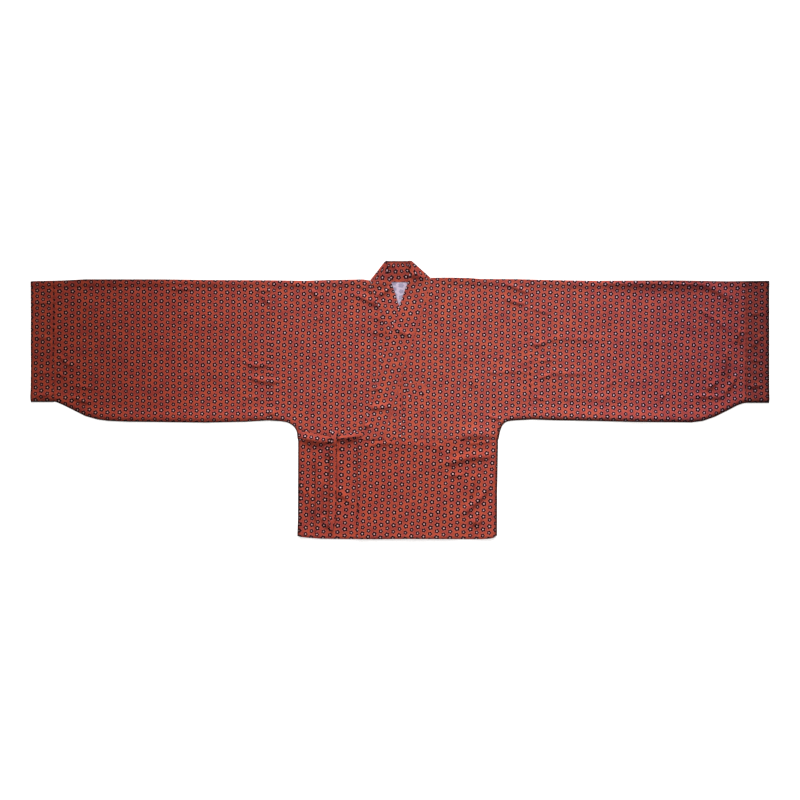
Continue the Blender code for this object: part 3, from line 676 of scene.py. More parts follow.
def edge_shade_and_soil(x, y):
    """How much the cloth is painted darker: painted shade, with some soiling from handling.

    It is darkest along the side and under folds, where contact shadow falls, and round the left cuff's end,
    less along the other edges, and in thin lines of painted shade in old creases and beside seams and ties."""
    left, right = from_under_edges(x, y)
    shoulder = np.abs(reading(SHOULDER, x) - y)
    cuff_end = np.abs(CUFF_END_X - np.abs(x))
    round_left_cuff = np.minimum(cuff_end, shoulder + EDGE_SHADE_SKIP * ease(*EDGE_SHADE_CUFF, x))
    low = np.where(x > CENTRE_X, np.minimum(left, round_left_cuff), EDGE_SHADE_NARROW_RIGHT * right)
    edges = np.minimum(shoulder + EDGE_SHADE_SKIP * ease(*EDGE_SHADE_SHOULDER, np.abs(x)), cuff_end)
    edges = np.minimum(edges, np.where(y < WAIST_Y, np.abs(y - reading(HEM, x)), np.inf))
    edges = np.minimum(edges, np.abs(COLLAR_TOP_Y - y))
    total = np.maximum(1 - ease(*EDGE_SHADE_FADE, low), EDGE_SHADE_LESS * (1 - ease(*EDGE_SHADE_FADE, edges)))
    for path, share in SHADE_LINES:
        distance, _, along = distance_to(np.array(path, float), x, y)
        length = np.hypot(*np.subtract(path[-1], path[0]))
        uneven = 1 - SHADE_LINE_UNEVEN + SHADE_LINE_UNEVEN * np.sin(2 * pi * along * length / SHADE_LINE_LENGTH)
        total = np.maximum(total, share * uneven * (1 - ease(*SHADE_LINE_REACH, distance)))
    return total


def add(tree, kind, sources=(), **settings):
    """Adds one node with its settings. sources has what its inputs take, by name or in the order of use.

    Each is a value, an output of another node, or a node, which stands for its first output in use."""
    new = tree.nodes.new("ShaderNode" + kind)
    for setting, value in settings.items():
        setattr(new, setting, value)
    if not isinstance(sources, dict):
        sources = dict(zip((place for place, entry in enumerate(new.inputs) if entry.enabled), sources))
    for entry, source in sources.items():
        if isinstance(source, bpy.types.Node):
            source = next(output for output in source.outputs if output.enabled)
        if isinstance(source, bpy.types.NodeSocket):
            tree.links.new(source, new.inputs[entry])
        else:
            new.inputs[entry].default_value = source
    return new


def new_material(name):
    material = bpy.data.materials.new(name)
    material.use_nodes = True
    material.node_tree.nodes.clear()
    return material, material.node_tree


def cloth_place(tree):
    """The place on the cut cloth in millimetres. The grain wanders a little, as in any washed cotton."""
    cut = add(tree, "UVMap", uv_map="cut")
    place = add(tree, "VectorMath", (cut, 1 / MM), operation="SCALE")
    drift = add(tree, "TexNoise", {"Vector": place, "Scale": 1 / GRAIN_LENGTH, "Detail": 1.0})
    reach = (2 * GRAIN_WANDER, 2 * GRAIN_WANDER, 0.0)
    middle = (-GRAIN_WANDER, -GRAIN_WANDER, 0.0)
    wander = add(tree, "VectorMath", (drift.outputs["Color"], reach, middle), operation="MULTIPLY_ADD")
    return add(tree, "VectorMath", (place, wander), operation="ADD")


def flowers(tree, place):
    """Masks of the printed flowers: petals, star, halo, which are small, and a random shade for each."""
    spot = add(tree, "SeparateXYZ", [place])
    column_at = add(tree, "Math", (spot.outputs["X"], COLUMN_PITCH), operation="DIVIDE")
    column = add(tree, "Math", [column_at], operation="ROUND")
    lowered = add(tree, "Math", (column, 2.0), operation="FLOORED_MODULO")
    along = add(tree, "Math", (lowered, COLUMN_SHIFT, spot.outputs["Y"]), operation="MULTIPLY_ADD")
    row_at = add(tree, "Math", (along, ROW_PITCH), operation="DIVIDE")
    row = add(tree, "Math", [row_at], operation="ROUND")
    small = add(tree, "Math", (row, 2.0), operation="FLOORED_MODULO")
    off_column = add(tree, "Math", (column, -COLUMN_PITCH, spot.outputs["X"]), operation="MULTIPLY_ADD")
    off_row = add(tree, "Math", (row, -ROW_PITCH, along), operation="MULTIPLY_ADD")
    off = add(tree, "CombineXYZ", (off_column, off_row))
    far = add(tree, "VectorMath", [off], operation="LENGTH")
    size = add(tree, "Math", (small, -SMALL, 1.0), operation="MULTIPLY_ADD")
    radius = add(tree, "Math", (far, size), operation="DIVIDE")
    angle = add(tree, "Math", (off_row, off_column), operation="ARCTAN2")
    turned = add(tree, "Math", (small, HALF_PETAL, angle), operation="MULTIPLY_ADD")
    from_petal = add(tree, "Math", (turned, HALF_PETAL), operation="PINGPONG")
    ahead_share = add(tree, "Math", [from_petal], operation="COSINE")
    beside_share = add(tree, "Math", [from_petal], operation="SINE")
    ahead = add(tree, "Math", (radius, ahead_share, -PETAL_PLACE), operation="MULTIPLY_ADD")
    beside = add(tree, "Math", (radius, beside_share), operation="MULTIPLY")
    from_middle = add(tree, "CombineXYZ", (ahead, beside))
    petal_far = add(tree, "VectorMath", [from_middle], operation="LENGTH")
    star_edge = add(tree, "MapRange", (from_petal, 0.0, HALF_PETAL, *STAR_EDGE))
    inside_star = add(tree, "Math", (star_edge, radius), operation="SUBTRACT")
    which = add(tree, "CombineXYZ", (column, row))
    masks = {"small": small, "shade": add(tree, "TexWhiteNoise", [which], noise_dimensions="2D")}
    measures = (
        ("petals", (petal_far, *PETAL_EDGE)),
        ("star", (inside_star, *STAR_SOFT)),
        ("halo", (radius, *HALO_EDGE)),
    )
    for name, measure in measures:
        masks[name] = add(tree, "MapRange", measure, interpolation_type="SMOOTHSTEP")
    return masks


def tint_along(tree, axis, rows):
    """The tint of a table by the place along one axis."""
    place = add(tree, "TexCoord")
    parts = add(tree, "SeparateXYZ", [place.outputs["Object"]])
    first, last = rows[0][0], rows[-1][0]
    share = add(tree, "MapRange", (parts.outputs[axis], first, last))
    ramp = add(tree, "ValToRGB", [share])
    stops = ramp.color_ramp.elements
    for row, _ in rows[1:-1]:
        stops.new((row - first) / (last - first))
    for stop, (_, tint) in zip(stops, rows):
        stop.color = linear(tint)
    return ramp


def darkened_by_place(tree, colour):
    """A colour darkened by painted light falloff toward the sleeve ends, and tinted darker on the waist
    strip and the collar's back.
    """
    multiply = {"data_type": "RGBA", "blend_type": "MULTIPLY"}
    tints = (tint_along(tree, "X", FALLOFF_TINT), tint_along(tree, "Y", CUT_TINT))
    falloff_and_cut_tint = add(tree, "Mix", (1.0, *tints), **multiply)
    return add(tree, "Mix", (1.0, colour, falloff_and_cut_tint), **multiply)


def pressed_bumps(tree, place):
    """The surface of woven cotton: crossing threads over the small waves that pressing leaves.

    The threads are drawn 1.3 mm apart, four times as coarse as real ones, which are too fine to show."""
    thread = {"Vector": place, "Scale": WAVE_OF_ONE / THREAD_PITCH, "Distortion": 0.6}
    warp, weft = (add(tree, "TexWave", thread, bands_direction=axis).outputs["Fac"] for axis in ("X", "Y"))
    woven = add(tree, "Math", (warp, weft), operation="MULTIPLY")
    threads = add(tree, "Bump", {"Strength": 0.5, "Distance": 0.3 * MM, "Height": woven})
    pressed = {"Vector": place, "Scale": 1 / PRESSED_LENGTH, "Detail": 3.0, "Roughness": 0.55}
    waves = add(tree, "TexNoise", pressed)
    return add(tree, "Bump", {"Strength": 0.7, "Distance": 1.6 * MM, "Height": waves, "Normal": threads})


def slubs(tree, place, strength):
    """Uneven threads: long, narrow streaks a little lighter or darker than the rest."""
    drawn_out = add(tree, "Mapping", {"Vector": place, "Scale": (1 / SLUB[0], 1 / SLUB[1], 1.0)})
    streaks = add(tree, "TexNoise", {"Vector": drawn_out, "Scale": 1.0, "Detail": 2.0})
    return add(tree, "MapRange", (streaks, *NOISE_RANGE, 1 - strength, 1 + strength / 2))


def finish_cotton(tree, place, colour, streaks):
    """Dry, matt cotton with a trace of sheen from its fuzz, its colour made uneven by threads.

    Its colour is darkened toward the sleeve ends by painted light falloff.
    """
    threaded = add(tree, "VectorMath", (colour, slubs(tree, place, streaks)), operation="SCALE")
    dryness = add(tree, "TexNoise", {"Vector": place, "Scale": 1 / DRY_LENGTH, "Detail": 2.0})
    cotton = {
        "Base Color": darkened_by_place(tree, threaded),
        "Roughness": add(tree, "MapRange", (dryness, *NOISE_RANGE, 0.8, 0.95)),
        "Normal": pressed_bumps(tree, place),
        "Specular IOR Level": 0.08,
        "Sheen Weight": 0.03,
        "Sheen Roughness": 0.4,
    }
    add(tree, "OutputMaterial", [add(tree, "BsdfPrincipled", cotton)])


def printed_cotton():
    """Cotton lawn, printed: black five-petalled flowers with pale star centres on a warm red ground."""
    material, tree = new_material("printed_cotton_lawn")
    place = cloth_place(tree)
    masks = flowers(tree, place)
    patches = add(tree, "TexNoise", {"Vector": place, "Scale": 1 / PATCH_LENGTH, "Detail": 2.0})
    dullness = add(tree, "Math", (masks["small"], masks["shade"], STAR_DULL), operation="MULTIPLY_ADD")
    # painted shade along the edges and in thin lines, with some soiling, laid over the print last
    shade_and_soil = add(tree, "Attribute", attribute_name="shade_and_soil")
    layers = (
        (add(tree, "MapRange", (patches, *PATCH_RANGE)), CLOTH_PINK),
        (add(tree, "Math", (masks["halo"], HALO_SHARE), operation="MULTIPLY"), HALO_LILAC),
        (masks["petals"], add(tree, "Mix", (masks["small"], PETAL_BLACK, PETAL_GREY), data_type="RGBA")),
        (masks["star"], add(tree, "Mix", (dullness, STAR_LAVENDER, STAR_GREY), data_type="RGBA")),
        (add(tree, "Math", (shade_and_soil.outputs["Fac"], EDGE_SHADE_SHARE), operation="MULTIPLY"), SHADE_AND_SOIL_BROWN),
    )
    colour = CLOTH_ORANGE
    for share, over in layers:
        colour = add(tree, "Mix", (share, colour, over), data_type="RGBA")
    finish_cotton(tree, place, colour, streaks=0.12)
    return material


def cloth_reverse():
    """The back of the printed cotton: pale lavender, with the flowers showing through in grey-blue."""
    material, tree = new_material("cotton_lawn_reverse")
    place = cloth_place(tree)
    masks = flowers(tree, place)
    inked = add(tree, "Math", (masks["petals"], masks["star"]), operation="MAXIMUM")
    ghost = add(tree, "Math", (inked, GHOST_SHARE), operation="MULTIPLY")
    colour = add(tree, "Mix", (ghost, REVERSE_LAVENDER, REVERSE_FLOWER), data_type="RGBA")
    finish_cotton(tree, place, colour, streaks=0.04)
    return material


def sewing_thread():
    """Spun polyester thread in the ground's red: slightly glossy, and finely ribbed by its twist."""
    material, tree = new_material("spun_sewing_thread")
    place = add(tree, "TexCoord").outputs["Object"]
    twist = add(tree, "TexNoise", {"Vector": place, "Scale": TWISTS, "Detail": 1.0})
    colour = add(tree, "Mix", (twist, THREAD_RED, THREAD_SHADE), data_type="RGBA")
    ribs = add(tree, "Bump", {"Strength": 0.5, "Distance": 0.1 * MM, "Height": twist})
    # the thread is darkened toward the sleeve ends by the same painted light falloff as the cloth
    thread = {"Base Color": darkened_by_place(tree, colour), "Roughness": 0.55, "Normal": ribs}
    add(tree, "OutputMaterial", [add(tree, "BsdfPrincipled", thread)])
    return material


def studio_paper():
    """Matt white background paper lit through from below: bright and even, with hardly any shadow."""
    material, tree = new_material("white_studio_paper")
    place = add(tree, "TexCoord").outputs["Object"]
    grain = add(tree, "TexNoise", {"Vector": place, "Scale": FIBRES, "Detail": 2.0})
    paper = {
        "Base Color": FLOOR_WHITE,
        "Roughness": 0.9,
        "Specular IOR Level": 0.1,
        "Normal": add(tree, "Bump", {"Strength": 0.1, "Distance": 0.2 * MM, "Height": grain}),
        "Emission Color": STUDIO_WHITE,
        "Emission Strength": FLOOR_GLOW,
    }
    add(tree, "OutputMaterial", [add(tree, "BsdfPrincipled", paper)])
    return material


PRINTED = printed_cotton()
REVERSE = cloth_reverse()
THREAD = sewing_thread()


def place_object(name, data):
    placed = bpy.data.objects.new(name, data)
    bpy.context.scene.collection.objects.link(placed)
    return placed


def make_mesh(bm, name, *materials):
    mesh = bpy.data.meshes.new(name)
    bm.to_mesh(mesh)
    bm.free()
    for material in materials:
        mesh.materials.append(material)
    return mesh


def place_piece(name, mesh):
    """Puts a piece of the jacket in the scene. It moves with the jacket."""
    piece = place_object(name, mesh)
    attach(piece, "root")
    return piece


def print_places(node, flat):
    """Where each point lies in the print: from a large flower, along and across the columns, in metres."""
    flower_x, flower_y, lean, wider, longer = SHEETS[node][1]
    turn = radians(lean)
    beside, beyond = (flat[..., 0] - flower_x) / wider, (flat[..., 1] - flower_y) / longer
    across, along = beside * cos(turn) + beyond * sin(turn), beyond * cos(turn) - beside * sin(turn)
    return np.dstack((across, along)) * MM


def in_vertex_order(values):
    """A grid's values in the order of its vertices, which run along its first side."""
    return values.swapaxes(0, 1).reshape(-1, *values.shape[2:])


def sheet(node, points, flat, wall, left_out=None, lined=False):
    """One wall of cloth on a grid of points. flat has each point's place on the cut cloth, for the print.

    left_out(i, j) says which cells aren't there. A lined piece shows the cloth's reverse on its inside."""
    name, _, size, area = SHEETS[node]
    across, along = points.shape[0] - 1, points.shape[1] - 1
    bm = bmesh.new()
    bmesh.ops.create_grid(bm, x_segments=across, y_segments=along, size=HALF)
    bm.verts.index_update()
    cut = bm.loops.layers.uv.new("cut")
    # each point keeps its share of painted shade, with some soiling, for the material
    shade_and_soil = bm.verts.layers.float.new("shade_and_soil")
    places = in_vertex_order(print_places(node, flat))
    shaded_share = in_vertex_order(edge_shade_and_soil(points[..., 0], points[..., 1]))
    gone = []
    for face in bm.faces:
        middle = face.calc_center_median()
        if left_out and left_out(int((middle.x + HALF) * across), int((middle.y + HALF) * along)):
            gone.append(face)
        for loop in face.loops:
            loop[cut].uv = places[loop.vert.index]
    for vert, point, share in zip(bm.verts, in_vertex_order(points) * MM, shaded_share):
        vert.co = point
        vert[shade_and_soil] = share
    bmesh.ops.delete(bm, geom=gone, context="FACES")
    bmesh.ops.remove_doubles(bm, verts=bm.verts, dist=MERGE_DISTANCE)
    bmesh.ops.recalc_face_normals(bm, faces=bm.faces)
    highest = max(bm.faces, key=lambda face: face.calc_center_median().z)
    if highest.normal.z < 0:
        bmesh.ops.reverse_faces(bm, faces=bm.faces)
    for edge in bm.edges:
        edge.smooth = not edge.is_boundary
    materials = (PRINTED, REVERSE) if lined else (PRINTED,)
    piece = place_piece(name, make_mesh(bm, name, *materials))
    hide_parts(node)
    thickness = piece.modifiers.new("Thickness", "SOLIDIFY")
    thickness.thickness = wall * MM
    thickness.offset = 0.0
    thickness.use_even_offset = node != "collar"  # it would throw spikes at the collar's tight corners
    thickness.material_offset = 1 if lined else 0


def fold_arc(edge, outward, low, high, wall):
    """Points round a folded edge, from upper to lower layer. The wall's outside reaches the edge."""
    turn = np.linspace(0.0, pi, ARC_STEPS + 1)
    radius = ((high - low) / 2)[:, None]
    reach = radius * np.sin(turn) - radius - wall / 2
    outward = np.broadcast_to(outward, edge.shape)
    x = edge[:, :1] + outward[:, :1] * reach
    y = edge[:, 1:] + outward[:, 1:] * reach
    z = ((high + low) / 2)[:, None] + radius * np.cos(turn)
    return np.stack((x, y, z), axis=-1)


def open_edge(front, front_z, back, back_z):
    """Stands in for a fold where front and back aren't joined. Its faces are left out."""
    ends = side_by_side(*front.T, front_z), side_by_side(*back.T, back_z)
    return blend(*(end[:, None, :] for end in ends), shares(ARC_STEPS)[None, :, None])


def between(start, end, steps, height):
    """The points inside each run from start to end, at the height that the function gives."""
    flat = blend(start[:, None, :2], end[:, None, :2], shares(steps)[None, 1:-1, None])
    return np.dstack((flat, height(flat[..., 0], flat[..., 1])))


def ring(low_fold, top_fold, height, low_layer, front_steps):
    """Sections all round, with their flat places: under fold, front, shoulder fold and back."""
    front = between(low_fold[:, -1], top_fold[:, 0], front_steps, height)
    back = between(top_fold[:, -1], low_fold[:, 0], BACK_STEPS, low_layer)
    points = np.concatenate((low_fold, front, top_fold, back, low_fold[:, :1]), axis=1)
    half = ARC_STEPS // 2
    over = low_fold.shape[1] + front.shape[1] + half
    flat = points[..., :2].copy()
    flat[:, over:, 1] = 2 * reading(SHOULDER, flat[:, over:, 0]) - flat[:, over:, 1]
    flat[:, :half, 1] = 2 * flat[:, half, 1][:, None] - flat[:, :half, 1]
    return points, flat


def back_neck(side, share):
    """Points of the back neckline, from the centre to the shoulder."""
    corner = LEG[side][0]
    return side_by_side(blend(CENTRE_X, corner[0], share), blend(BACK_NECK_Y, corner[1], share**2))


def body(side):
    """Front and back of one half, cut in one and folded at the shoulder, as far as the sleeve seam."""
    sign, height = SIGN[side], HEIGHT[side]
    seam_x = sign * (SLEEVE_SEAM_X - GAP / 2)
    waist_y = WAIST_Y + GAP / 2
    side_x = float(reading(SIDE[side], waist_y))

    neck = smooth_line(LEG[side][: APEX + 1], NECK_STEPS)[::-1, :2] + (sign * GAP, 0.0)
    neck_columns = len(neck) - 1
    share = shares(neck_columns)
    behind = back_neck(side, share) + side_by_side(sign * GAP / 2 * (1 + share), -GAP)
    neck_top = open_edge(neck, height(*neck.T), behind, BACK)

    armpit = smooth_line(((side_x, waist_y), *ARMPIT[side]), ARMPIT_STEPS)
    seam_run = stepped(armpit[-1, 0], seam_x)[1:]
    under = np.vstack((armpit, side_by_side(seam_run, reading(SLEEVE_LOW[side], seam_run))))
    run = directions(under)
    run[0] = (0.0, 1.0)
    outward = side_by_side(run[:, 1], -run[:, 0]) * sign
    under_fold = fold_arc(under, outward, BACK, height(*under.T), WALL)[:, ::-1]

    side_steps = steps_for(side_x - neck[-1, 0])
    shoulder_x = np.linspace(neck[-1, 0], seam_x, side_steps + len(under))
    edge = side_by_side(shoulder_x, reading(SHOULDER, shoulder_x))
    shoulder_fold = fold_arc(edge, (0.0, 1.0), BACK, height(*edge.T), WALL)

    waist_columns = neck_columns + side_steps
    waist_x = np.linspace(CENTRE_X + sign * GAP / 2, side_x, waist_columns + 1)[:-1]
    waist = side_by_side(waist_x, waist_y)
    waist_open = open_edge(waist, BACK, waist, height(*waist.T))

    lows = np.concatenate((waist_open, under_fold))
    tops = np.concatenate((neck_top[:-1], shoulder_fold))
    front_steps = steps_for(edge[0, 1] - waist_y)
    points, flat = ring(lows, tops, height, back_height, front_steps)
    top_start = ARC_STEPS + front_steps

    def left_out(i, j):
        open_waist = i < waist_columns and j < ARC_STEPS
        open_neck = i < neck_columns and top_start <= j < top_start + ARC_STEPS
        return open_waist or open_neck

    sheet(f"body_{side}", points, flat, WALL, left_out, lined=True)


def tube(node, side, start_x, end_x, wall, low_edge):
    """A flattened tube along X, folded at the shoulder line and at its under edge."""
    sign = SIGN[side]
    x = stepped(sign * (start_x + GAP / 2), sign * (end_x - GAP / 2))
    top = side_by_side(x, reading(SHOULDER, x))
    low = side_by_side(x, reading(low_edge, x))
    raised = (wall - WALL) * BAND_RAISED
    floor = BACK + (wall - WALL) / 2

    def front(x, y):
        return HEIGHT[side](x, y) + raised

    def back(x, y):
        return back_height(x, y) - BACK + floor

    top_fold = fold_arc(top, (0.0, 1.0), floor, front(*top.T), wall)
    low_fold = fold_arc(low, (0.0, -1.0), floor, front(*low.T), wall)[:, ::-1]
    points, flat = ring(low_fold, top_fold, front, back, steps_for(top[0, 1] - low[0, 1]))
    if node == "sleeve_right":
        flat[..., 0] += reading(CUFF_PULL, points[..., 0])
    sheet(node, points, flat, wall, lined=wall == WALL)


def sleeve(side):
    tube(f"sleeve_{side}", side, SLEEVE_SEAM_X, CUFF_SEAM_X, WALL, SLEEVE_LOW[side])


def cuff(side):
    """A doubled band with a straight under edge. Its reverse doesn't show."""
    tube(f"cuff_{side}", side, CUFF_SEAM_X, CUFF_END_X, BAND_WALL, [(0.0, CUFF_LOW_Y[side])])


def overlap(side):
    """The narrow panel between the centre front seam and the lower half of the collar."""
    y = stepped(APEX_Y - OVERLAP_TIP, WAIST_Y + GAP / 2)
    seam_x = reading(LEG_SEAM[side], y) + SIGN[side] * GAP
    x = blend(seam_x[:, None], CENTRE_X - SIGN[side] * GAP / 2, shares(OVERLAP_ACROSS)[None, :])
    level = np.broadcast_to(y[:, None], x.shape)
    points = np.dstack((x, level, HEIGHT[side](x, level)))
    sheet(f"overlap_{side}", points, points[..., :2], WALL, lined=True)


def fullness(share):
    """How much higher a doubled band is between its edges."""
    return BAND_FULLNESS * np.sin(pi * share) ** 0.5


def band_rows(seam, free, height):
    """Lines across the collar, from its sewn edge to its free edge."""
    share = shares(BAND_STEPS)
    flat = blend(seam[:, None, :], free[:, None, :], share[None, :, None])
    return np.dstack((flat, height(flat[..., 0], flat[..., 1]) + fullness(share)))


def collar_leg(side):
    """One collar leg from just below its crease down to the waist. It stands up round the neck."""
    rows = smooth_line(LEG[side], LEG_STEPS)[LEG_STEPS // 2 :]
    points = band_rows(rows[:, :2], rows[:, 2:], lambda x, y: HEIGHT[side](x, y) + BAND_WALL / 2)
    points[..., 2] += NECK_STAND[side] * shares(BAND_STEPS) ** 2 * ease(*NECK_STAND_FROM, points[..., 1])
    return points


def collar_crease(side, top_y):
    """The slanted fold where a leg turns over to the back of the neck, from the leg to the back."""
    seam, free = np.array(LEG[side][0]).reshape(2, 2)
    run_x, run_y = (seam - free) / np.hypot(*(seam - free))
    share = shares(BAND_STEPS)
    edge = blend(seam[None, :], free[None, :], share[:, None])
    high = HEIGHT[side](*edge.T) + BAND_WALL / 2 + fullness(share) + NECK_STAND[side] * share**2
    outward = (-run_y * SIGN[side], run_x * SIGN[side])
    arc = fold_arc(edge, outward, BACK + BAND_WALL / 2, high, BAND_WALL).transpose(1, 0, 2)
    foot, tip = arc[:, :1, :2], arc[:, -1:, :2]
    longer = (top_y - foot[..., 1:]) / (tip[..., 1:] - foot[..., 1:])
    arc[..., :2] = foot + (arc[..., :2] - foot) * longer
    return arc


def collar():
    """One straight band: up the inner leg, round the back of the neck and down the outer leg."""
    top_y = COLLAR_TOP_Y - BAND_WALL / 2
    half = np.linspace(0.0, BACK_COLLAR_END, BACK_NECK_POINTS)
    seam = np.vstack((back_neck("right", half)[::-1], back_neck("left", half)[1:]))
    both = np.concatenate((-half[::-1], half[1:]))
    free = side_by_side(blend(LEG["right"][0][2], LEG["left"][0][2], (both + 1) / 2), top_y)
    back = band_rows(seam, free, lambda x, y: BACK + BAND_WALL / 2 + folds(x, y))
    parts = [
        collar_leg("right")[::-1],
        collar_crease("right", top_y),
        back,
        collar_crease("left", top_y)[::-1],
        collar_leg("left"),
    ]
    points = np.concatenate(parts)
    from_free = np.hypot(*(points[:, -1:, :2] - points[..., :2]).transpose(2, 0, 1))
    across = BAND_WIDTH - from_free * np.minimum(1.0, BAND_WIDTH / from_free[:, :1])
    ends = np.cumsum([len(part) for part in parts[:-1]])
    across += np.interp(np.arange(len(points)), ends, COLLAR_PULL)[:, None]
    along = lengths_along(points[:, BAND_STEPS // 2])
    sheet("collar", points, np.dstack(np.broadcast_arrays(across, along[:, None])), BAND_WALL)


def waist_panel():
    """One long strip below the waist seam: inner front, back and outer front."""
    top_y = WAIST_Y - GAP / 2
    share = shares(WAIST_STEPS)
    inner_x, outer_x = (PANEL_EDGE[side][1][1] for side in ("right", "left"))
    left_x, right_x = (float(reading(SIDE[side], WAIST_Y)) for side in SIGN)

    def strip(x, height):
        x = np.broadcast_to(x[None, :], (len(share), len(x)))
        y = blend(top_y, reading(HEM, x), share[:, None])
        return np.dstack((x, y, height(x, y)))

    def side_fold(side, side_x):
        y = blend(top_y, reading(HEM, side_x), share)
        edge = side_by_side(reading(SIDE[side], y), y)
        return fold_arc(edge, (SIGN[side], 0.0), BACK, HEIGHT[side](*edge.T), WALL)

    inner_run = stepped(inner_x, right_x)[:-1]
    outer_run = stepped(left_x, outer_x)[1:]
    back_run = np.linspace(right_x, left_x, 2 * BACK_STEPS + 1)[1:-1]
    inner = strip(inner_run[inner_run > right_x + SIDE_CLEAR], inner_height)
    outer = strip(outer_run[outer_run < left_x - SIDE_CLEAR], outer_height)
    right, left = side_fold("right", right_x), side_fold("left", left_x)[:, ::-1]
    points = np.concatenate((inner, right, strip(back_run, back_height), left, outer), axis=1)
    x = points[0, :, 0]
    along = np.concatenate(([0.0], np.cumsum(np.abs(np.diff(x))))) + x[0]
    along[: inner.shape[1]] += reading(INNER_PULL, x[: inner.shape[1]])
    along[-outer.shape[1] :] += reading(OUTER_PULL, x[-outer.shape[1] :])
    flat = np.dstack((np.broadcast_to(along[None, :], points.shape[:2]), points[..., 1]))
    sheet("waist_panel", points, flat, WALL, lined=True)


def tie_band(node):
    """A doubled band over the cloth, fullest along its middle and pleated where it runs into the knot."""
    rows = smooth_line(TIES[node], TIE_STEPS)
    half_width, above = rows[:, 2:3] / 2, rows[:, 3:4]
    run = directions(rows)
    beside = side_by_side(-run[:, 1], run[:, 0])
    share = np.linspace(-1.0, 1.0, TIE_ACROSS + 1)
    length = lengths_along(rows)
    flat = rows[:, None, :2] + beside[:, None, :] * (half_width * share)[..., None]
    from_knot = length[-1] - length
    if node == "tie_end":
        slant = ease(length[-1] - TIE_END_RUN, length[-1], length)[:, None] * TIE_END_SLANT * share
        flat += run[:, None, :] * slant[..., None]
        from_knot = length
    drawn_in = TIE_PLEAT * (1 - ease(0.0, TIE_PLEAT_RUN, from_knot))[:, None]
    pleats = drawn_in * np.cos(TIE_PLEATS * pi * share)
    over = top_height(flat[..., 0], flat[..., 1]) + (WALL + BAND_WALL) / 2 + TIE_CLEAR
    z = over + above + TIE_CROWN * (1 - share**2) + pleats
    cut = np.dstack(np.broadcast_arrays(half_width * share, length[:, None]))
    sheet(node, np.dstack((flat, z)), cut, BAND_WALL)


def knot():
    """Where the ties meet: one wide wrap of cloth over them, drawn in at both ends."""
    turn = np.linspace(0.0, pi, KNOT_STEPS + 1)[:, None]
    share = np.linspace(-1.0, 1.0, TIE_ACROSS + 1)[None, :]
    middle_x, middle_y = KNOT_MIDDLE
    half_x, half_y, rise = KNOT_HALF
    rounding, sides_down = KNOT_ROUND
    crease, halves = KNOT_CREASE
    width = half_x * share * (1 - KNOT_NARROW + KNOT_NARROW * np.sin(turn))
    x = middle_x + width - KNOT_LEAN * np.cos(turn)
    y = middle_y - half_y * np.cos(turn)
    under = top_height(np.array(middle_x), np.array(middle_y))
    rounded = np.sin(turn) ** rounding * (1 - sides_down * share**4)
    creased = crease * np.cos(halves * pi * share) * np.sin(turn)
    z = under + WALL + TIE_CLEAR + rise * rounded + creased
    cut = np.dstack(np.broadcast_arrays(half_x * share + COLUMN_PITCH / 2, turn / pi * KNOT_CUT))
    sheet("tie_knot", np.dstack(np.broadcast_arrays(x, y, z)), cut, BAND_WALL)


def stitch_line(places, height):
    """The stitches along one row of a seam, as a start and an end point on the cloth for each."""
    lengths = lengths_along(places)
    starts = np.arange(STITCH_PITCH, lengths[-1] - STITCH_PITCH, STITCH_PITCH)
    ends = []
    for offset in (0.0, STITCH[0]):
        x, y = (np.interp(starts + offset, lengths, places[:, axis]) for axis in (0, 1))
        ends.append(side_by_side(x, y, height(x, y)))
    return zip(*ends)


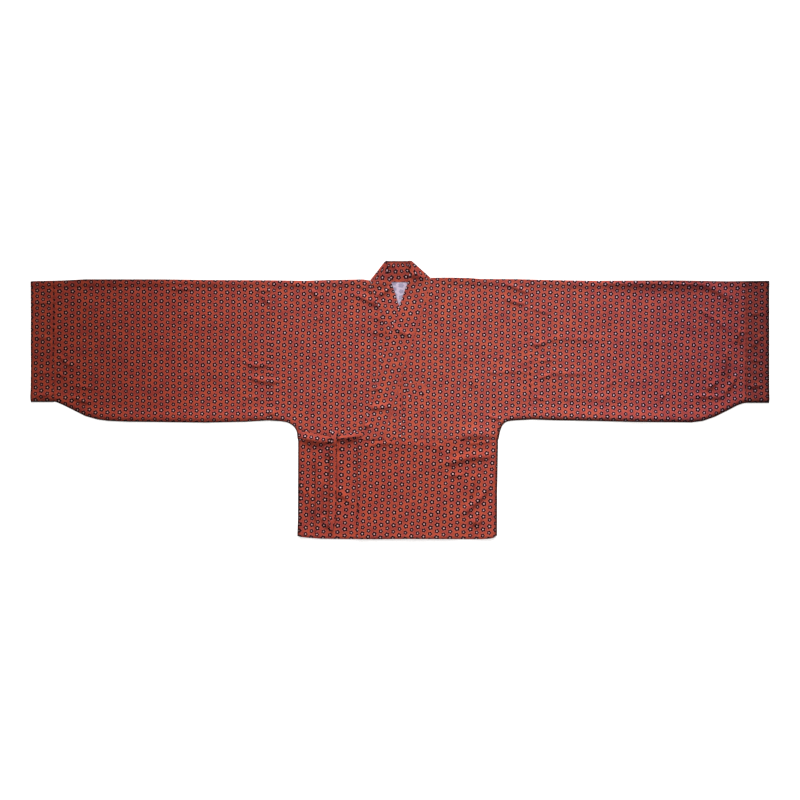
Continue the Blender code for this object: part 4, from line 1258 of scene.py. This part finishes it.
def topstitching():
    """Rows of small stitches: along the hem, the waist, the front edge, the cuffs and both collar legs."""
    over_cloth, over_band = WALL / 2 + STITCH[2] / 4, 2 * BAND_WALL - WALL + STITCH[2] / 4
    hem_x = np.linspace(*HEM_STITCHED, STITCH_POINTS)
    waist_x = np.linspace(*WAIST_STITCHED, STITCH_POINTS)
    edge_y = np.linspace(WAIST_Y - STITCH_END, FRONT_STITCHED_TO, STITCH_POINTS)
    edge_x = reading(PANEL_EDGE["left"], edge_y) + HEM_WIDTH - HEM_SOFT
    rows = [
        (side_by_side(hem_x, reading(HEM, hem_x) + HEM_WIDTH), over_cloth),
        (side_by_side(waist_x, WAIST_Y - STITCH_INSET), over_cloth),
        (side_by_side(edge_x, edge_y), over_cloth),
    ]
    for side, sign in SIGN.items():
        top_y = reading(SHOULDER, sign * CUFF_SEAM_X) - STITCH_END
        cuff_y = np.linspace(CUFF_LOW_Y[side] + STITCH_END, top_y, STITCH_POINTS)
        rows.append((side_by_side(sign * (CUFF_SEAM_X + STITCH_INSET), cuff_y), over_band))
        leg = smooth_line(LEG[side], LEG_STEPS)[LEG_SKIPPED:]
        if side == "right":
            leg = leg[leg[:, 0] < reading(LEG_FREE["left"], leg[:, 1]) - STITCH_COVERED]
        across = leg[:, 2:] - leg[:, :2]
        across /= np.hypot(*across.T)[:, None]
        rows.append((leg[:, :2] + across * STITCH_INSET, over_band - STITCH_SUNK))
    bm = bmesh.new()
    for places, over in rows:
        for start, end in stitch_line(places, lambda x, y: top_height(x, y) + over):
            turned = Vector(end - start).to_track_quat("X", "Z").to_matrix().to_4x4()
            where = Matrix.Translation(Vector((start + end) / 2) * MM)
            size = Matrix.Diagonal((*(Vector(STITCH) * MM), 1.0))
            bmesh.ops.create_icosphere(bm, subdivisions=1, radius=HALF, matrix=where @ turned @ size)
    mesh = make_mesh(bm, "topstitching", THREAD)
    mesh.shade_smooth()
    place_piece("topstitching", mesh)


def studio():
    """A white paper floor under even light, with a soft main light from beyond the shoulders."""
    bm = bmesh.new()
    bmesh.ops.create_grid(bm, x_segments=1, y_segments=1, size=FLOOR_HALF)
    floor = place_object("studio_floor", make_mesh(bm, "studio_floor", studio_paper()))

    main_light = bpy.data.lights.new("main_light", "SUN")
    main_light.energy = MAIN_LIGHT
    main_light.angle = radians(MAIN_SPREAD)
    facing = Vector(MAIN_FROM).to_track_quat("Z", "Y").to_euler()
    place_object("main_light", main_light).rotation_euler = facing

    world = bpy.data.worlds.new("studio_light")
    world.use_nodes = True
    background = world.node_tree.nodes["Background"]
    background.inputs["Color"].default_value = STUDIO_WHITE
    background.inputs["Strength"].default_value = FILL_LIGHT
    bpy.context.scene.world = world
    bpy.context.scene.view_settings.view_transform = "Standard"


def camera():
    """Straight above the middle of the jacket, turned so that the shoulders are at the top."""
    lens = bpy.data.cameras.new("camera")
    lens.lens = LENS
    lens.sensor_width = SENSOR
    above = place_object("camera", lens)
    above.location = (0.0, 0.0, PICTURE_WIDTH * LENS / SENSOR)
    bpy.context.scene.camera = above


waist_panel()
for wearer_side in SIGN:
    body(wearer_side)
    overlap(wearer_side)
    sleeve(wearer_side)
    cuff(wearer_side)
collar()
for tie_node in TIES:
    tie_band(tie_node)
knot()
topstitching()
studio()
camera()
